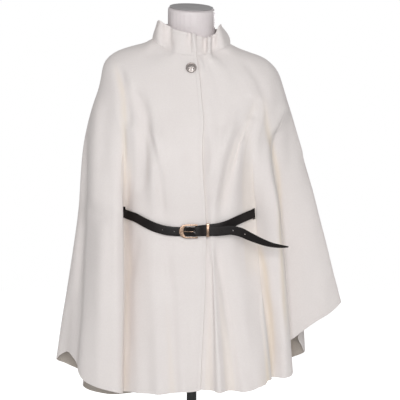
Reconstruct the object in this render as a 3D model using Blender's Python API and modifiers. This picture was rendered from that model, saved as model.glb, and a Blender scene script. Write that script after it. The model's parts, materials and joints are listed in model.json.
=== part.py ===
"""A short wool cape with a stand collar and a narrow leather belt, worn by a limbless dress form on a stand.

Millimetres are used in the tables and turned to metres where the meshes are made. +Z is up, the wearer
faces -Y, and the origin is on the floor under the middle of the stand's pole.
"""

import math
from typing import NamedTuple

import bmesh
import bpy
import numpy as np

MM = 0.001

# Cloth
WOOL = 2.2
COLLAR_WALL = 3.0
SEAM_GAP = 0.6
CLOTH_STEP = 27.0
BELT_LINE_MIDDLE = 995.0
BELT_LINE_SIDE = 1030.0
BELT_LINE_REACH = 150.0

# The wearer's stance: the shoulders slope down towards +X
LEAN = math.radians(2.6)
LEAN_LOW = 1000.0
LEAN_HIGH = 1300.0

# Dress form and stand
FORM_SIDES = 32
FORM_SQUARENESS = 2.3
POLE_RADIUS = 11.7
BASE_RADIUS = 165.0
BASE_THICKNESS = 8.0
FLANGE_RADIUS = 48.0
FLANGE_THICKNESS = 6.0
TOUCH_GAP = 0.3

# Belt
STRAP_WIDTH = 20.0
STRAP_THICKNESS = 1.8
HOLE_RADIUS = 1.6
PRONG_HOLE_RADIUS = 3.0
FRAME_HEIGHT = 31.0
FRAME_THICKNESS = 3.0
FRAME_LEFT = -27.0
FRAME_RIGHT = 14.2
FRAME_SIDE = 3.0
FRAME_TIP = 10.0
FRAME_BAR = 2.4
FRAME_MIDDLE_Y = -103.0
FRAME_MIDDLE_Z = 996.0
FRAME_ARC = 15.0
FRAME_WINDOW_ARC = 8.0
FRAME_ROUNDING = 0.5
KEEPER_X = 37.0
KEEPER_WIDTH = 6.0
KEEPER_WALL = 1.4
KEEPER_BACK = -100.1
KEEPER_FRONT = -105.9
KEEPER_LOW = 985.2
KEEPER_HIGH = 1012.3

# Button
BUTTON_X = 0.0
BUTTON_Z = 1358.0
BUTTON_SIDES = 24
BUTTON_SLOPE_REACH = 10.0


class Ring(NamedTuple):
    """One ring of the cape's yoke, where it lies over the shoulders."""

    name: str
    right_x: float
    left_x: float
    front_y: float
    back_y: float
    side_z: float
    front_z: float
    back_z: float
    ripple: float


class Fold(NamedTuple):
    """One line of the cape from neck to hem: a ridge, a groove or an edge."""

    panel: str
    name: str
    angle: float
    lift: float
    chest_x: float
    chest_y: float
    belt_x: float
    belt_y: float
    hem_x: float
    hem_y: float
    hem_z: float


class Section(NamedTuple):
    """One level section of the dress form."""

    name: str
    height: float
    half_width: float
    front: float
    back: float
    tilt: float


class StrapPoint(NamedTuple):
    """One point on the middle of the belt's strap."""

    name: str
    x: float
    y: float
    z: float
    width: float
    twist: float


class CollarFold(NamedTuple):
    """One upright line of the collar: its place round the neck, and its top."""

    name: str
    angle: float
    top_x: float
    top_y: float
    top_z: float


RINGS = [
    Ring("neck", -90, 89, -73, 76, 1415, 1384, 1424, 1.0),
    Ring("mid_shoulder", -150, 151, -91, 96, 1399, 1334, 1380, 0.4),
    Ring("shoulder", -198, 195, -109, 112, 1367, 1275, 1320, 0.0),
    Ring("upper_arm", -220, 223, -121, 118, 1287, 1238, 1262, 0.0),
]

# The soft folds round the neck: angle, and how far the cloth stands out there
NECK_RIPPLES = [
    (-14, 0.0),
    (10, -1.0),
    (18, -3.0),
    (27, 1.5),
    (36, -5.0),
    (56, 1.0),
    (80, 0.0),
    (280, 0.0),
    (302, 1.5),
    (315, -5.0),
    (328, -1.0),
    (340, 0.5),
    (352, -1.5),
    (361, 0.0),
    (375, 0.0),
]
CHEST_Z = 1200.0

FOLDS = [
    Fold("front_left", "under_edge", -6, -2.0, -18, -121, -15, -92, -12, -121, 646),
    Fold("front_left", "under_opening", 4, -2.4, 14, -123, 15, -93, 12, -122, 645),
    Fold("front_left", "opening", 9.5, -2.0, 30, -124, 36, -94, 28, -122, 643),
    Fold("front_left", "groove_by_opening", 15, 0, 48, -130, 42, -97, 43, -123, 643),
    Fold("front_left", "ridge_by_opening", 20.5, 0, 66, -134, 49, -98, 60, -143, 642),
    Fold("front_left", "bust_groove", 31, 0, 99, -120, 64, -92, 86, -123, 645),
    Fold("front_left", "bust_ridge", 36.5, 0, 113, -121, 94, -83, 118, -138, 645),
    Fold("front_left", "slit_groove", 41, 0, 127, -106, 120, -60, 150, -135, 651),
    Fold("front_left", "slit_inner", 44.5, 0, 135, -103, 139, -42, 172, -127, 657),
    Fold("front_left", "slit_outer", 47, 0, 141, -100, 144.5, -43.5, 180, -112, 663),
    Fold("front_left", "side_groove", 50, 0, 147, -97, 150, -50, 173, -72, 662),
    Fold("front_left", "side_panel", 56, 0, 160, -90, 170, -66, 192, -76, 660),
    Fold("front_left", "side_panel_edge", 63, 0, 176, -78, 196, -70, 215, -79, 660),
    Fold("front_left", "side_panel_turn", 67, 0, 182, -66, 201, -56, 230, -66, 664),
    Fold("front_left", "side_panel_inside", 70, 0, 183, -56, 194, -34, 228, -41, 695),
    Fold("front_left", "wing_groove", 73, 0, 186, -50, 196, -16, 223, -18, 727),
    Fold("front_left", "wing_front", 77, 0, 200, -42, 215, -13, 242, -11, 743),
    Fold("front_left", "wing_face", 82, 0, 220, -26, 250, -8, 285, -4, 773),
    Fold("front_left", "wing_side", 87, 0, 239, -8, 278, 2, 326, 8, 797),
    Fold("back", "left_side", 91, 0, 247, 6, 292, 14, 348, 22, 817),
    Fold("back", "left_wing_back", 101, 0, 238, 42, 280, 46, 316, 50, 800),
    Fold("back", "left_wing_hollow", 109, 0, 220, 64, 252, 64, 252, 52, 735),
    Fold("back", "left_back_fold", 118, 0, 204, 86, 238, 90, 266, 78, 690),
    Fold("back", "left_back_inside", 125, 0, 184, 98, 214, 112, 238, 106, 669),
    Fold("back", "left_blade", 138, 0, 140, 113, 160, 138, 178, 152, 634),
    Fold("back", "left_middle", 152, 0, 94, 121, 106, 156, 118, 188, 604),
    Fold("back", "back_groove", 168, 0, 44, 121, 48, 149, 52, 172, 588),
    Fold("back", "back_ridge", 184, 0, -10, 121, -12, 159, -14, 195, 580),
    Fold("back", "right_middle", 200, 0, -66, 121, -74, 150, -80, 172, 576),
    Fold("back", "right_blade", 216, 0, -118, 117, -132, 148, -142, 168, 572),
    Fold("back", "right_back_ridge", 231, 0, -168, 105, -190, 126, -207, 132, 575),
    Fold("back", "right_back_fold", 243, 0, -204, 86, -230, 98, -260, 98, 602),
    Fold("back", "right_wing_hollow", 251, 0, -220, 66, -242, 66, -252, 64, 640),
    Fold("back", "right_wing_back", 259, 0, -234, 38, -254, 44, -292, 48, 667),
    Fold("front_right", "right_side", 268, 0, -243, 6, -263, 14, -313, 18, 684),
    Fold("front_right", "wing_groove", 276, 0, -236, -20, -246, -22, -283, -12, 707),
    Fold("front_right", "wing_ridge", 282, 0, -225, -42, -231, -54, -264, -54, 685),
    Fold("front_right", "wing_face", 288, 0, -208, -60, -208, -82, -240, -88, 655),
    Fold("front_right", "wing_front", 294, 0, -189, -73, -183, -98, -203, -108, 643),
    Fold("front_right", "wing_edge", 302, 0, -168, -84, -161, -102, -162, -115, 634),
    Fold("front_right", "wing_turn", 306, 0, -160, -88, -151.5, -92, -153, -105, 631),
    Fold("front_right", "wing_inside", 308, 0, -155, -91, -154, -74, -154, -84, 631),
    Fold("front_right", "side_groove", 310.5, 0, -150, -95, -160, -52, -157, -66, 631),
    Fold("front_right", "slit_outer", 313, 0, -144, -99, -155.5, -43.5, -149, -68, 631),
    Fold("front_right", "slit_inner", 316, 0, -138, -102, -150, -42, -141, -78, 632),
    Fold("front_right", "side_panel", 322, 0, -122, -112, -130, -63, -118, -112, 633),
    Fold("front_right", "bust_groove", 330, 0, -98, -120, -106, -79, -94, -123, 634),
    Fold("front_right", "bust_ridge", 337, 0, -78, -133, -84, -89, -70, -138, 635),
    Fold("front_right", "groove_by_bust", 343, 0, -58, -131, -61, -92, -44, -130, 637),
    Fold("front_right", "ridge_by_opening", 350, 1.2, -34, -132, -34, -96.5, -20, -137, 640),
    Fold("front_right", "over_middle", 358.5, 2.4, -5, -130, -2, -97.0, 2, -135, 640),
    Fold("front_right", "over_edge", 367, 2.8, 25, -129, 33, -97.0, 20, -131, 642),
]

# How far down each stretch between two levels the rows of the cloth lie
ROW_SHARES = {
    "neck": (0.0, 0.5),
    "mid_shoulder": (0.0, 0.5),
    "shoulder": (0.0, 0.5),
    "upper_arm": (0.0, 0.5),
    "chest": (0.0, 0.25, 0.5, 0.75, 0.912),
    "belt": (0.0, 0.039, 0.16, 0.36, 0.6, 0.82, 1.0),
}

COLLAR_FOLDS = [
    CollarFold("under_end", -6, -16, -57, 1428),
    CollarFold("under_flat", 4, 12, -57, 1429),
    CollarFold("middle_plane", 12, 25, -55, 1428),
    CollarFold("middle_groove", 18, 32, -52, 1427),
    CollarFold("middle_ridge", 27, 42, -60, 1427),
    CollarFold("left_valley", 36, 52, -44, 1430),
    CollarFold("left_rise", 46, 62, -43, 1440),
    CollarFold("left_ridge", 60, 73, -33, 1449),
    CollarFold("left_peak", 77, 74, -12, 1455),
    CollarFold("left_side", 98, 70, 16, 1458),
    CollarFold("left_back", 132, 57, 52, 1462),
    CollarFold("back", 180, -2, 74, 1465),
    CollarFold("right_back", 228, -61, 53, 1466),
    CollarFold("right_side", 262, -77, 16, 1466),
    CollarFold("right_peak", 283, -81, -14, 1464),
    CollarFold("right_ridge", 302, -72, -40, 1455),
    CollarFold("right_valley", 315, -54, -40, 1447),
    CollarFold("right_rise", 324, -43, -51, 1443),
    CollarFold("right_flat", 336, -25, -61, 1438),
    CollarFold("over_flat", 346, -11, -64, 1435),
    CollarFold("over_groove", 353, -3, -62, 1434),
    CollarFold("over_roll", 361, 4, -68, 1433),
    CollarFold("over_end", 367, 10.5, -66, 1432),
]
COLLAR_FOOT_GAP = 0.7
COLLAR_ROWS = (0.0, 0.33, 0.67, 1.0)

FORM_SECTIONS = [
    Section("cap_rim", 1495.5, 48, 47, 47, 14),
    Section("cap_edge", 1493, 52.5, 51.5, 51.5, 14),
    Section("neck_top", 1487, 53.5, 52, 52, 13),
    Section("neck_middle", 1455, 53.5, 49, 53, 8),
    Section("neck_base", 1430, 57, 46, 58, 3),
    Section("shoulder_root", 1417.5, 72, 45, 60, 0),
    Section("shoulder_slope", 1406.6, 101, 43, 62, 0),
    Section("shoulder_line", 1395, 140, 47, 66, 0),
    Section("shoulder_top", 1368, 164, 56, 75, 0),
    Section("shoulder_edge", 1340, 174, 68, 83, 0),
    Section("arm_top", 1295, 175, 86, 93, 0),
    Section("armpit", 1242, 168, 104, 97, 0),
    Section("bust", 1195, 155, 112, 95, 0),
    Section("under_bust", 1130, 132, 98, 82, 0),
    Section("waist", 1030, 110, 74, 68, 0),
    Section("high_hip", 950, 124, 77, 80, 0),
    Section("hip", 860, 138, 84, 98, 0),
    Section("thigh", 770, 136, 88, 94, 0),
    Section("bottom", 716, 130, 86, 88, 0),
]

STRAP_POINTS = [
    StrapPoint("stitched_end", 29, -100.4, 1000, 20, 0),
    StrapPoint("stitched_turn", 20, -100.0, 999, 20, 0),
    StrapPoint("bar_back", 13, -99.9, 998, 20, 0),
    StrapPoint("bar_back_quarter", 10.8, -100.8, 998, 20, 0),
    StrapPoint("bar_far_side", 9.9, -103.0, 998, 20, 0),
    StrapPoint("bar_front_quarter", 10.8, -105.2, 998, 20, 0),
    StrapPoint("bar_front", 13, -106.1, 998, 20, 0),
    StrapPoint("loop_shoulder", 20, -104.9, 998.8, 20, 0),
    StrapPoint("loop_foot", 28, -102.6, 1000, 20, 0),
    StrapPoint("in_keeper", 37, -101.6, 1001.3, 20, 0),
    StrapPoint("past_keeper", 55, -101.2, 1003, 20, 0),
    StrapPoint("front_left_bend", 73, -98.2, 1006, 20, 0),
    StrapPoint("front_left_side", 87, -92.4, 1010.5, 20, 0),
    StrapPoint("left_waist", 104.6, -80.5, 1017.5, 20, 0),
    StrapPoint("left_before_slit", 122, -63.5, 1023.5, 20, 0),
    StrapPoint("left_at_slit", 141.6, -43.0, 1030, 20, 0),
    StrapPoint("left_inside", 151, -16, 1034, 20, 0),
    StrapPoint("left_hip", 151, 14, 1036, 20, 0),
    StrapPoint("left_back_bend", 136, 52, 1038, 20, 0),
    StrapPoint("left_back", 100, 82, 1040, 20, 0),
    StrapPoint("back_left", 50, 97, 1041, 20, 0),
    StrapPoint("back_middle", -2, 101, 1041, 20, 0),
    StrapPoint("back_right", -54, 97, 1041, 20, 0),
    StrapPoint("right_back", -106, 82, 1040, 20, 0),
    StrapPoint("right_back_bend", -145, 52, 1038, 20, 0),
    StrapPoint("right_hip", -163, 14, 1036, 20, 0),
    StrapPoint("right_inside", -163, -16, 1034, 20, 0),
    StrapPoint("right_at_slit", -152.7, -43.0, 1030, 20, 0),
    StrapPoint("right_before_slit", -142, -57.5, 1027, 20, 0),
    StrapPoint("right_waist", -126, -72.0, 1023, 20, 0),
    StrapPoint("front_right_side", -104, -86.5, 1013, 20, 0),
    StrapPoint("front_right_bend", -80, -95.0, 1003, 20, 0),
    StrapPoint("front_right", -56, -98.8, 997.5, 20, 0),
    StrapPoint("before_buckle", -36, -99.8, 995.5, 20, 0),
    StrapPoint("under_frame_tip", -22, -100.0, 995.2, 20, 0),
    StrapPoint("frame_window", -13, -100.2, 995.2, 20, 0),
    StrapPoint("rise", -6, -102.2, 995.4, 20, 0),
    StrapPoint("rise_top", 2, -105.8, 995.6, 20, 0),
    StrapPoint("over_bar", 11, -108.3, 995.8, 20, 0),
    StrapPoint("past_bar", 20, -107.2, 996, 20, 0),
    StrapPoint("before_keeper", 30, -104.6, 996, 20, 0),
    StrapPoint("tail_in_keeper", 38, -104.0, 996, 20, 0),
    StrapPoint("tail_past_keeper", 50, -104.4, 996, 20, 0),
    StrapPoint("tail_lifts", 66, -106.5, 995.6, 20, 0),
    StrapPoint("tail_hump", 90, -110, 993.8, 20, 2),
    StrapPoint("tail_bends", 110, -113, 989, 20, 6),
    StrapPoint("tail_falls", 132, -116.5, 980, 20, 12),
    StrapPoint("tail_twists", 157, -120, 972, 18.5, 20),
    StrapPoint("tail_narrows", 184, -124, 966, 14, 30),
    StrapPoint("tail_end", 204, -127, 963.3, 8, 38),
    StrapPoint("tail_tip", 212, -128, 962.6, 2.4, 40),
]
STRAP_STEP = 11.0
# The strap's edges and its slot's edges, as shares of its width from its middle
STRAP_SHARES = (-0.5, -0.11, 0.11, 0.5)
SLOT_START = 10.0
SLOT_END_SHARE = 0.99
# The holes are in the stretch that lies on top, this far past the bar, where the strap is in front of this y
HOLES_FROM = 300.0
HOLES_FRONT_OF = -90.0
PRONG_HOLE_X = 7.6
FREE_HOLE_XS = (-64.0, -37.5, 67.0, 93.0, 119.0)
PUNCH_SIDES = 8
PUNCH_REACH = 1.8

PRONG_RADIUS = 0.8
PRONG_READS = 22
PRONG_POINTS = [
    (12.4, -105.7, 997.6),
    (9.6, -105.9, 997.3),
    (8.0, -106.8, 996.9),
    (6.6, -108.4, 996.5),
    (5.2, -109.7, 996.2),
    (1.5, -110.2, 996.1),
    (-11, -108.2, 996.0),
    (-24.5, -105.7, 996.0),
]

# The button's half section, from the middle of its face to the middle of its back: radius, height
BUTTON_PROFILE = [
    (0.0, 6.6),
    (5.5, 6.0),
    (8.8, 4.6),
    (9.6, 4.4),
    (10.4, 5.0),
    (11.2, 4.6),
    (11.8, 3.4),
    (11.2, 2.4),
    (7.0, 2.0),
    (4.0, 1.8),
    (3.6, 0.6),
    (0.0, 0.6),
]

# Name: (colour, roughness, metallic)
MATERIALS = {
    "ivory_wool": ((0.84, 0.80, 0.75, 1.0), 0.95, 0.0),
    "black_leather": ((0.02, 0.018, 0.018, 1.0), 0.38, 0.0),
    "pale_gold": ((0.80, 0.62, 0.40, 1.0), 0.28, 1.0),
    "silver_button": ((0.70, 0.68, 0.66, 1.0), 0.22, 1.0),
    "white_form": ((0.80, 0.77, 0.77, 1.0), 0.30, 0.0),
    "black_stand": ((0.015, 0.015, 0.015, 1.0), 0.40, 0.0),
}


def clear_scene():
    """Removes the objects that a new file starts with."""
    for thing in list(bpy.data.objects):
        bpy.data.objects.remove(thing)


def new_collection(name):
    """An empty collection in the scene."""
    made = bpy.data.collections.new(name)
    bpy.context.scene.collection.children.link(made)
    return made


def make_material(name):
    """One of the plain materials of MATERIALS."""
    colour, roughness, metallic = MATERIALS[name]
    material = bpy.data.materials.new(name)
    material.use_nodes = True
    shader = material.node_tree.nodes["Principled BSDF"]
    shader.inputs["Base Color"].default_value = colour
    shader.inputs["Roughness"].default_value = roughness
    shader.inputs["Metallic"].default_value = metallic
    return material


def smoothstep(value, low, high):
    """The soft step from 0 at low to 1 at high."""
    share = np.clip((value - low) / (high - low), 0.0, 1.0)
    return share * share * (3.0 - 2.0 * share)


def leaned(points):
    """The points after the shoulders' slope: what is above the waist drops towards +X."""
    out = np.array(points, float)
    share = smoothstep(out[..., 2], LEAN_LOW, LEAN_HIGH)
    out[..., 2] -= out[..., 0] * math.tan(LEAN) * share
    return out


def knots_of(points):
    """Distances along a chain of points."""
    steps = np.linalg.norm(np.diff(points, axis=0), axis=1)
    return np.concatenate([[0.0], np.cumsum(np.maximum(steps, 1e-6))])


def hermite(points, knots, at):
    """A smooth curve through points that lie at knots, read at the places in at."""
    points = np.asarray(points, float)
    gaps = np.diff(knots)
    slopes = np.diff(points, axis=0) / gaps[:, None]
    tangents = np.empty_like(points)
    tangents[0], tangents[-1] = slopes[0], slopes[-1]
    before, after = gaps[:-1, None], gaps[1:, None]
    tangents[1:-1] = (slopes[:-1] * after + slopes[1:] * before) / (before + after)
    i = np.clip(np.searchsorted(knots, at, side="right") - 1, 0, len(gaps) - 1)
    gap = gaps[i][:, None]
    t = ((at - knots[i]) / gaps[i])[:, None]
    return (
        points[i] * (2 * t**3 - 3 * t**2 + 1)
        + tangents[i] * gap * (t**3 - 2 * t**2 + t)
        + points[i + 1] * (3 * t**2 - 2 * t**3)
        + tangents[i + 1] * gap * (t**3 - t**2)
    )


def ring_point(ring, angle_deg, lift):
    """A point of a yoke ring. The angle runs from the front (0) through +X (90) to the back (180)."""
    angle = math.radians(angle_deg)
    side, ahead = math.sin(angle), math.cos(angle)
    half = ring.left_x if side > 0 else -ring.right_x
    depth = -ring.front_y if ahead > 0 else ring.back_y
    end_z = ring.front_z if ahead > 0 else ring.back_z
    outward = np.array([side, -ahead, 0.0])
    ripple = hermite(*neck_ripples(), np.array([angle_deg]))[0, 0]
    flat = np.array([half * side, -depth * ahead, ring.side_z + (end_z - ring.side_z) * ahead**2])
    return flat + outward * (lift + ripple * ring.ripple)


def neck_ripples():
    """The ripples of the neck as a column of depths and the angles where they lie."""
    table = np.array(NECK_RIPPLES, float)
    return table[:, 1:], table[:, 0]


def belt_height(x):
    """The height of the belt's line, which dips at the front."""
    share = min(abs(x) / BELT_LINE_REACH, 1.0)
    return BELT_LINE_MIDDLE + (BELT_LINE_SIDE - BELT_LINE_MIDDLE) * share**2


def fold_levels(fold):
    """The fold's points at the chest, the belt and the hem."""
    chest = (fold.chest_x, fold.chest_y, CHEST_Z)
    belt = (fold.belt_x, fold.belt_y, belt_height(fold.belt_x))
    hem = (fold.hem_x, fold.hem_y, fold.hem_z)
    return np.array([chest, belt, hem], float)


def line_rows(levels):
    """One line of the cloth down its levels, with the rows that ROW_SHARES gives."""
    knots = knots_of(levels)
    at = []
    for i, shares in enumerate(ROW_SHARES.values()):
        at.extend(knots[i] + share * (knots[i + 1] - knots[i]) for share in shares)
    return hermite(levels, knots, np.array(at))


def cloth_sheet():
    """The cape's outer face as points [column, row], the column of each fold, and each column's angle."""
    levels = np.array([fold_levels(fold) for fold in FOLDS])
    chest, belt, hem = levels[:, 0], levels[:, 1], levels[:, 2]
    knots = (knots_of(chest) + knots_of(belt) + knots_of(hem)) / 3
    at, fold_column = [], []
    for i in range(len(FOLDS) - 1):
        fold_column.append(len(at))
        widest = max(np.linalg.norm(level[i + 1] - level[i]) for level in (belt, hem))
        is_slit = FOLDS[i].name.startswith("slit_") and FOLDS[i + 1].name.startswith("slit_")
        count = 1 if is_slit else max(1, round(widest / CLOTH_STEP))
        at.extend(knots[i] + (knots[i + 1] - knots[i]) * k / count for k in range(count))
    fold_column.append(len(at))
    at.append(knots[-1])
    at = np.array(at)
    around = hermite([(fold.angle, fold.lift) for fold in FOLDS], knots, at)
    lower = hermite(levels.reshape(len(FOLDS), -1), knots, at).reshape(len(at), 3, 3)
    columns = []
    for (angle, lift), levels_below in zip(around, lower):
        yoke = [ring_point(ring, angle, lift) for ring in RINGS]
        columns.append(line_rows(np.array([*yoke, *levels_below])))
    return leaned(columns), fold_column, around[:, 0]


def sheet_normals(grid):
    """Outward unit normals of a grid of points whose columns run round from the front to +X."""
    across = np.gradient(grid, axis=0)
    down = np.gradient(grid, axis=1)
    normals = np.cross(down, across)
    return normals / np.linalg.norm(normals, axis=2, keepdims=True)


def seam_shift(grid, column, towards, amount):
    """A seam's column moved a little along the cloth, towards the next column on one side."""
    step = grid[column + towards] - grid[column]
    return grid[column] + step / np.linalg.norm(step, axis=1, keepdims=True) * amount


def wall_mesh(name, outer, inner, holes=(), closed=False):
    """A closed wall between two like grids of points [column, row], in metres, with holes at some quads."""
    columns, rows = outer.shape[:2]
    mesh = bmesh.new()
    faces_out = [[mesh.verts.new(p * MM) for p in column] for column in outer]
    faces_in = [[mesh.verts.new(p * MM) for p in column] for column in inner]
    last = columns if closed else columns - 1
    edge_use = {}
    for i in range(last):
        j = (i + 1) % columns
        for k in range(rows - 1):
            if (i, k) in holes:
                continue
            corners = [(i, k), (i, k + 1), (j, k + 1), (j, k)]
            mesh.faces.new([faces_out[a][b] for a, b in corners])
            mesh.faces.new([faces_in[a][b] for a, b in reversed(corners)])
            for start, end in zip(corners, corners[1:] + corners[:1]):
                edge = frozenset((start, end))
                edge_use[edge] = None if edge in edge_use else (start, end)
    for ends in edge_use.values():
        if ends:
            (a, b), (c, d) = ends
            mesh.faces.new([faces_out[c][d], faces_out[a][b], faces_in[a][b], faces_in[c][d]])
    used = {v for face in mesh.faces for v in face.verts}
    bmesh.ops.delete(mesh, geom=[v for v in mesh.verts if v not in used], context="VERTS")
    bmesh.ops.recalc_face_normals(mesh, faces=mesh.faces)
    data = bpy.data.meshes.new(name)
    mesh.to_mesh(data)
    mesh.free()
    data.shade_smooth()
    return data


def place(collection, name, data, material):
    """An object of that mesh or curve, with its material, in the collection."""
    made = bpy.data.objects.new(name, data)
    data.materials.append(material)
    collection.objects.link(made)
    return made


def make_cape(collection, wool):
    """The two fronts and the back, each a wall of one cloth thickness, parted at the side seams."""
    grid, fold_column, _ = cloth_sheet()
    inner = grid - sheet_normals(grid) * WOOL
    slit_top = grid.shape[1] - len(ROW_SHARES["belt"]) - 1
    starts = {}
    for i, fold in enumerate(FOLDS):
        starts.setdefault(fold.panel, fold_column[i])
    edges = [0, starts["back"], starts["front_right"], len(grid) - 1]
    for panel, first, last in zip(("front_left", "back", "front_right"), edges[:-1], edges[1:]):
        walls = [sheet[first : last + 1].copy() for sheet in (grid, inner)]
        for wall, sheet in zip(walls, (grid, inner)):
            if first:
                wall[0] = seam_shift(sheet, first, 1, SEAM_GAP / 2)
            if last < len(grid) - 1:
                wall[-1] = seam_shift(sheet, last, -1, SEAM_GAP / 2)
        slits = [
            fold_column[i] - first
            for i in range(len(FOLDS) - 1)
            if FOLDS[i].panel == panel and {f.name for f in FOLDS[i : i + 2]} == {"slit_inner", "slit_outer"}
        ]
        holes = {(column, row) for column in slits for row in (slit_top, slit_top + 1)}
        place(collection, panel, wall_mesh(panel, *walls, holes=holes), wool)


def make_collar(collection, wool):
    """The stand collar: a band of doubled cloth whose ends lap at the front."""
    cape, _, angles = cloth_sheet()
    feet = cape[:, 0] + np.array([0.0, 0.0, COLLAR_FOOT_GAP])
    table = np.array([fold[1:] for fold in COLLAR_FOLDS], float)
    tops = leaned(hermite(table[:, 1:], table[:, 0], angles))
    shares = np.array(COLLAR_ROWS[::-1])[None, :, None]
    grid = tops[:, None] * shares + feet[:, None] * (1 - shares)
    inner = grid - sheet_normals(grid) * COLLAR_WALL
    place(collection, "collar", wall_mesh("collar", grid, inner), wool)


def section_ring(section, sides):
    """A ring of points round a section of the dress form."""
    power = 2.0 / FORM_SQUARENESS
    slope = math.tan(math.radians(section.tilt))
    ring = []
    for k in range(sides):
        angle = 2 * math.pi * k / sides
        side, ahead = math.sin(angle), math.cos(angle)
        x = section.half_width * math.copysign(abs(side) ** power, side)
        depth = section.front if ahead > 0 else section.back
        y = -depth * math.copysign(abs(ahead) ** power, ahead)
        ring.append((x, y, section.height + y * slope))
    return ring


def loft_mesh(name, rings):
    """A closed solid through rings of points, capped flat at both ends."""
    mesh = bmesh.new()
    rows = [[mesh.verts.new(np.array(p) * MM) for p in ring] for ring in rings]
    for upper, lower in zip(rows, rows[1:]):
        for k in range(len(upper)):
            n = (k + 1) % len(upper)
            mesh.faces.new([upper[k], lower[k], lower[n], upper[n]])
    mesh.faces.new(rows[0])
    mesh.faces.new(rows[-1])
    bmesh.ops.recalc_face_normals(mesh, faces=mesh.faces)
    data = bpy.data.meshes.new(name)
    mesh.to_mesh(data)
    mesh.free()
    data.shade_smooth()
    return data


def make_form(collection, shell):
    """The limbless dress form, from the slanted cap of its neck to its flat underside."""
    control = np.array([section_ring(section, FORM_SIDES) for section in FORM_SECTIONS])
    knots = knots_of(np.array([(s.half_width, s.height) for s in FORM_SECTIONS], float))
    at = []
    for i in range(len(knots) - 1):
        count = 2 if knots[i + 1] - knots[i] > 60 else 1
        at.extend(knots[i] + (knots[i + 1] - knots[i]) * k / count for k in range(count))
    at = np.array([*at, knots[-1]])
    rings = hermite(control.reshape(len(control), -1), knots, at).reshape(len(at), FORM_SIDES, 3)
    rings = leaned(rings)
    rings[-1, :, 2] = FORM_SECTIONS[-1].height
    place(collection, "form_torso", loft_mesh("form_torso", rings), shell)


def cylinder(collection, name, radius, low, high, material, sides=32, bevel=0.0):
    """An upright cylinder on the pole's axis, between two heights."""
    mesh = bmesh.new()
    bmesh.ops.create_cone(
        mesh, cap_ends=True, segments=sides, radius1=radius * MM, radius2=radius * MM, depth=(high - low) * MM
    )
    bmesh.ops.translate(mesh, verts=mesh.verts, vec=(0.0, 0.0, (high + low) / 2 * MM))
    data = bpy.data.meshes.new(name)
    mesh.to_mesh(data)
    mesh.free()
    data.shade_smooth()
    data.set_sharp_from_angle(angle=math.radians(40))
    made = place(collection, name, data, material)
    if bevel:
        rounding = made.modifiers.new("rounded_rim", "BEVEL")
        rounding.width = bevel * MM
        rounding.segments = 2
        rounding.limit_method = "ANGLE"
    return made


def make_stand(collection, black):
    """The round foot, the pole, and the flange that carries the form."""
    form_bottom = FORM_SECTIONS[-1].height
    flange_top = form_bottom - TOUCH_GAP
    flange_bottom = flange_top - FLANGE_THICKNESS
    cylinder(collection, "stand_flange", FLANGE_RADIUS, flange_bottom, flange_top, black)
    pole_bottom = BASE_THICKNESS + TOUCH_GAP
    pole_top = flange_bottom - TOUCH_GAP
    cylinder(collection, "stand_pole", POLE_RADIUS, pole_bottom, pole_top, black, 20)
    cylinder(collection, "stand_base", BASE_RADIUS, 0.0, BASE_THICKNESS, black, 48, 2.0)


def strap_sections():
    """Points along the strap's middle with their width and thickness directions and widths."""
    table = np.array([point[1:] for point in STRAP_POINTS], float)
    knots = knots_of(table[:, :3])
    at = []
    for i in range(len(knots) - 1):
        count = max(1, round((knots[i + 1] - knots[i]) / STRAP_STEP))
        at.extend(knots[i] + (knots[i + 1] - knots[i]) * k / count for k in range(count))
    at = np.array([*at, knots[-1]])
    read = hermite(table, knots, at)
    middles, widths, twists = read[:, :3], read[:, 3], np.radians(read[:, 4])
    along = np.gradient(middles, axis=0)
    along /= np.linalg.norm(along, axis=1, keepdims=True)
    up = np.array([0.0, 0.0, 1.0]) - along * along[:, 2:3]
    up /= np.linalg.norm(up, axis=1, keepdims=True)
    through = np.cross(along, up)
    turned_up = up * np.cos(twists)[:, None] + through * np.sin(twists)[:, None]
    turned_through = np.cross(along, turned_up)
    return middles, turned_up, turned_through, widths


def make_strap(collection, leather, cutters):
    """The belt's one strap, from its end round the buckle's bar, round the body, to its free tail."""
    middles, up, through, widths = strap_sections()
    face = middles[:, None] + up[:, None] * (widths[:, None] * np.array(STRAP_SHARES))[:, :, None]
    half = through[:, None] * STRAP_THICKNESS / 2
    bar_front = next(i for i, p in enumerate(STRAP_POINTS) if p.name == "bar_front")
    reach = knots_of(np.array([p[1:4] for p in STRAP_POINTS], float))[bar_front]
    run = knots_of(middles)
    holes = {(i, 1) for i in range(len(run) - 1) if SLOT_START < run[i] < reach * SLOT_END_SHARE}
    wall = wall_mesh("belt_strap", face - half, face + half, holes)
    strap = place(collection, "belt_strap", wall, leather)
    front = [
        i for i in range(len(run)) if run[i] > reach + HOLES_FROM and middles[i][1] < HOLES_FRONT_OF
    ]
    for number, x in enumerate((PRONG_HOLE_X, *FREE_HOLE_XS)):
        near = min(front, key=lambda i: abs(middles[i][0] - x))
        centre = np.array([x, *(np.interp(x, middles[front][:, 0], middles[front][:, k]) for k in (1, 2))])
        radius = PRONG_HOLE_RADIUS if number == 0 else HOLE_RADIUS
        cut = bpy.data.objects.new(f"strap_hole_cutter_{number}", punch_mesh(centre, through[near], radius))
        cutters.objects.link(cut)
        cut.hide_render = True
        cut.display_type = "WIRE"
        punched = strap.modifiers.new(f"hole_{number}", "BOOLEAN")
        punched.object = cut


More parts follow.
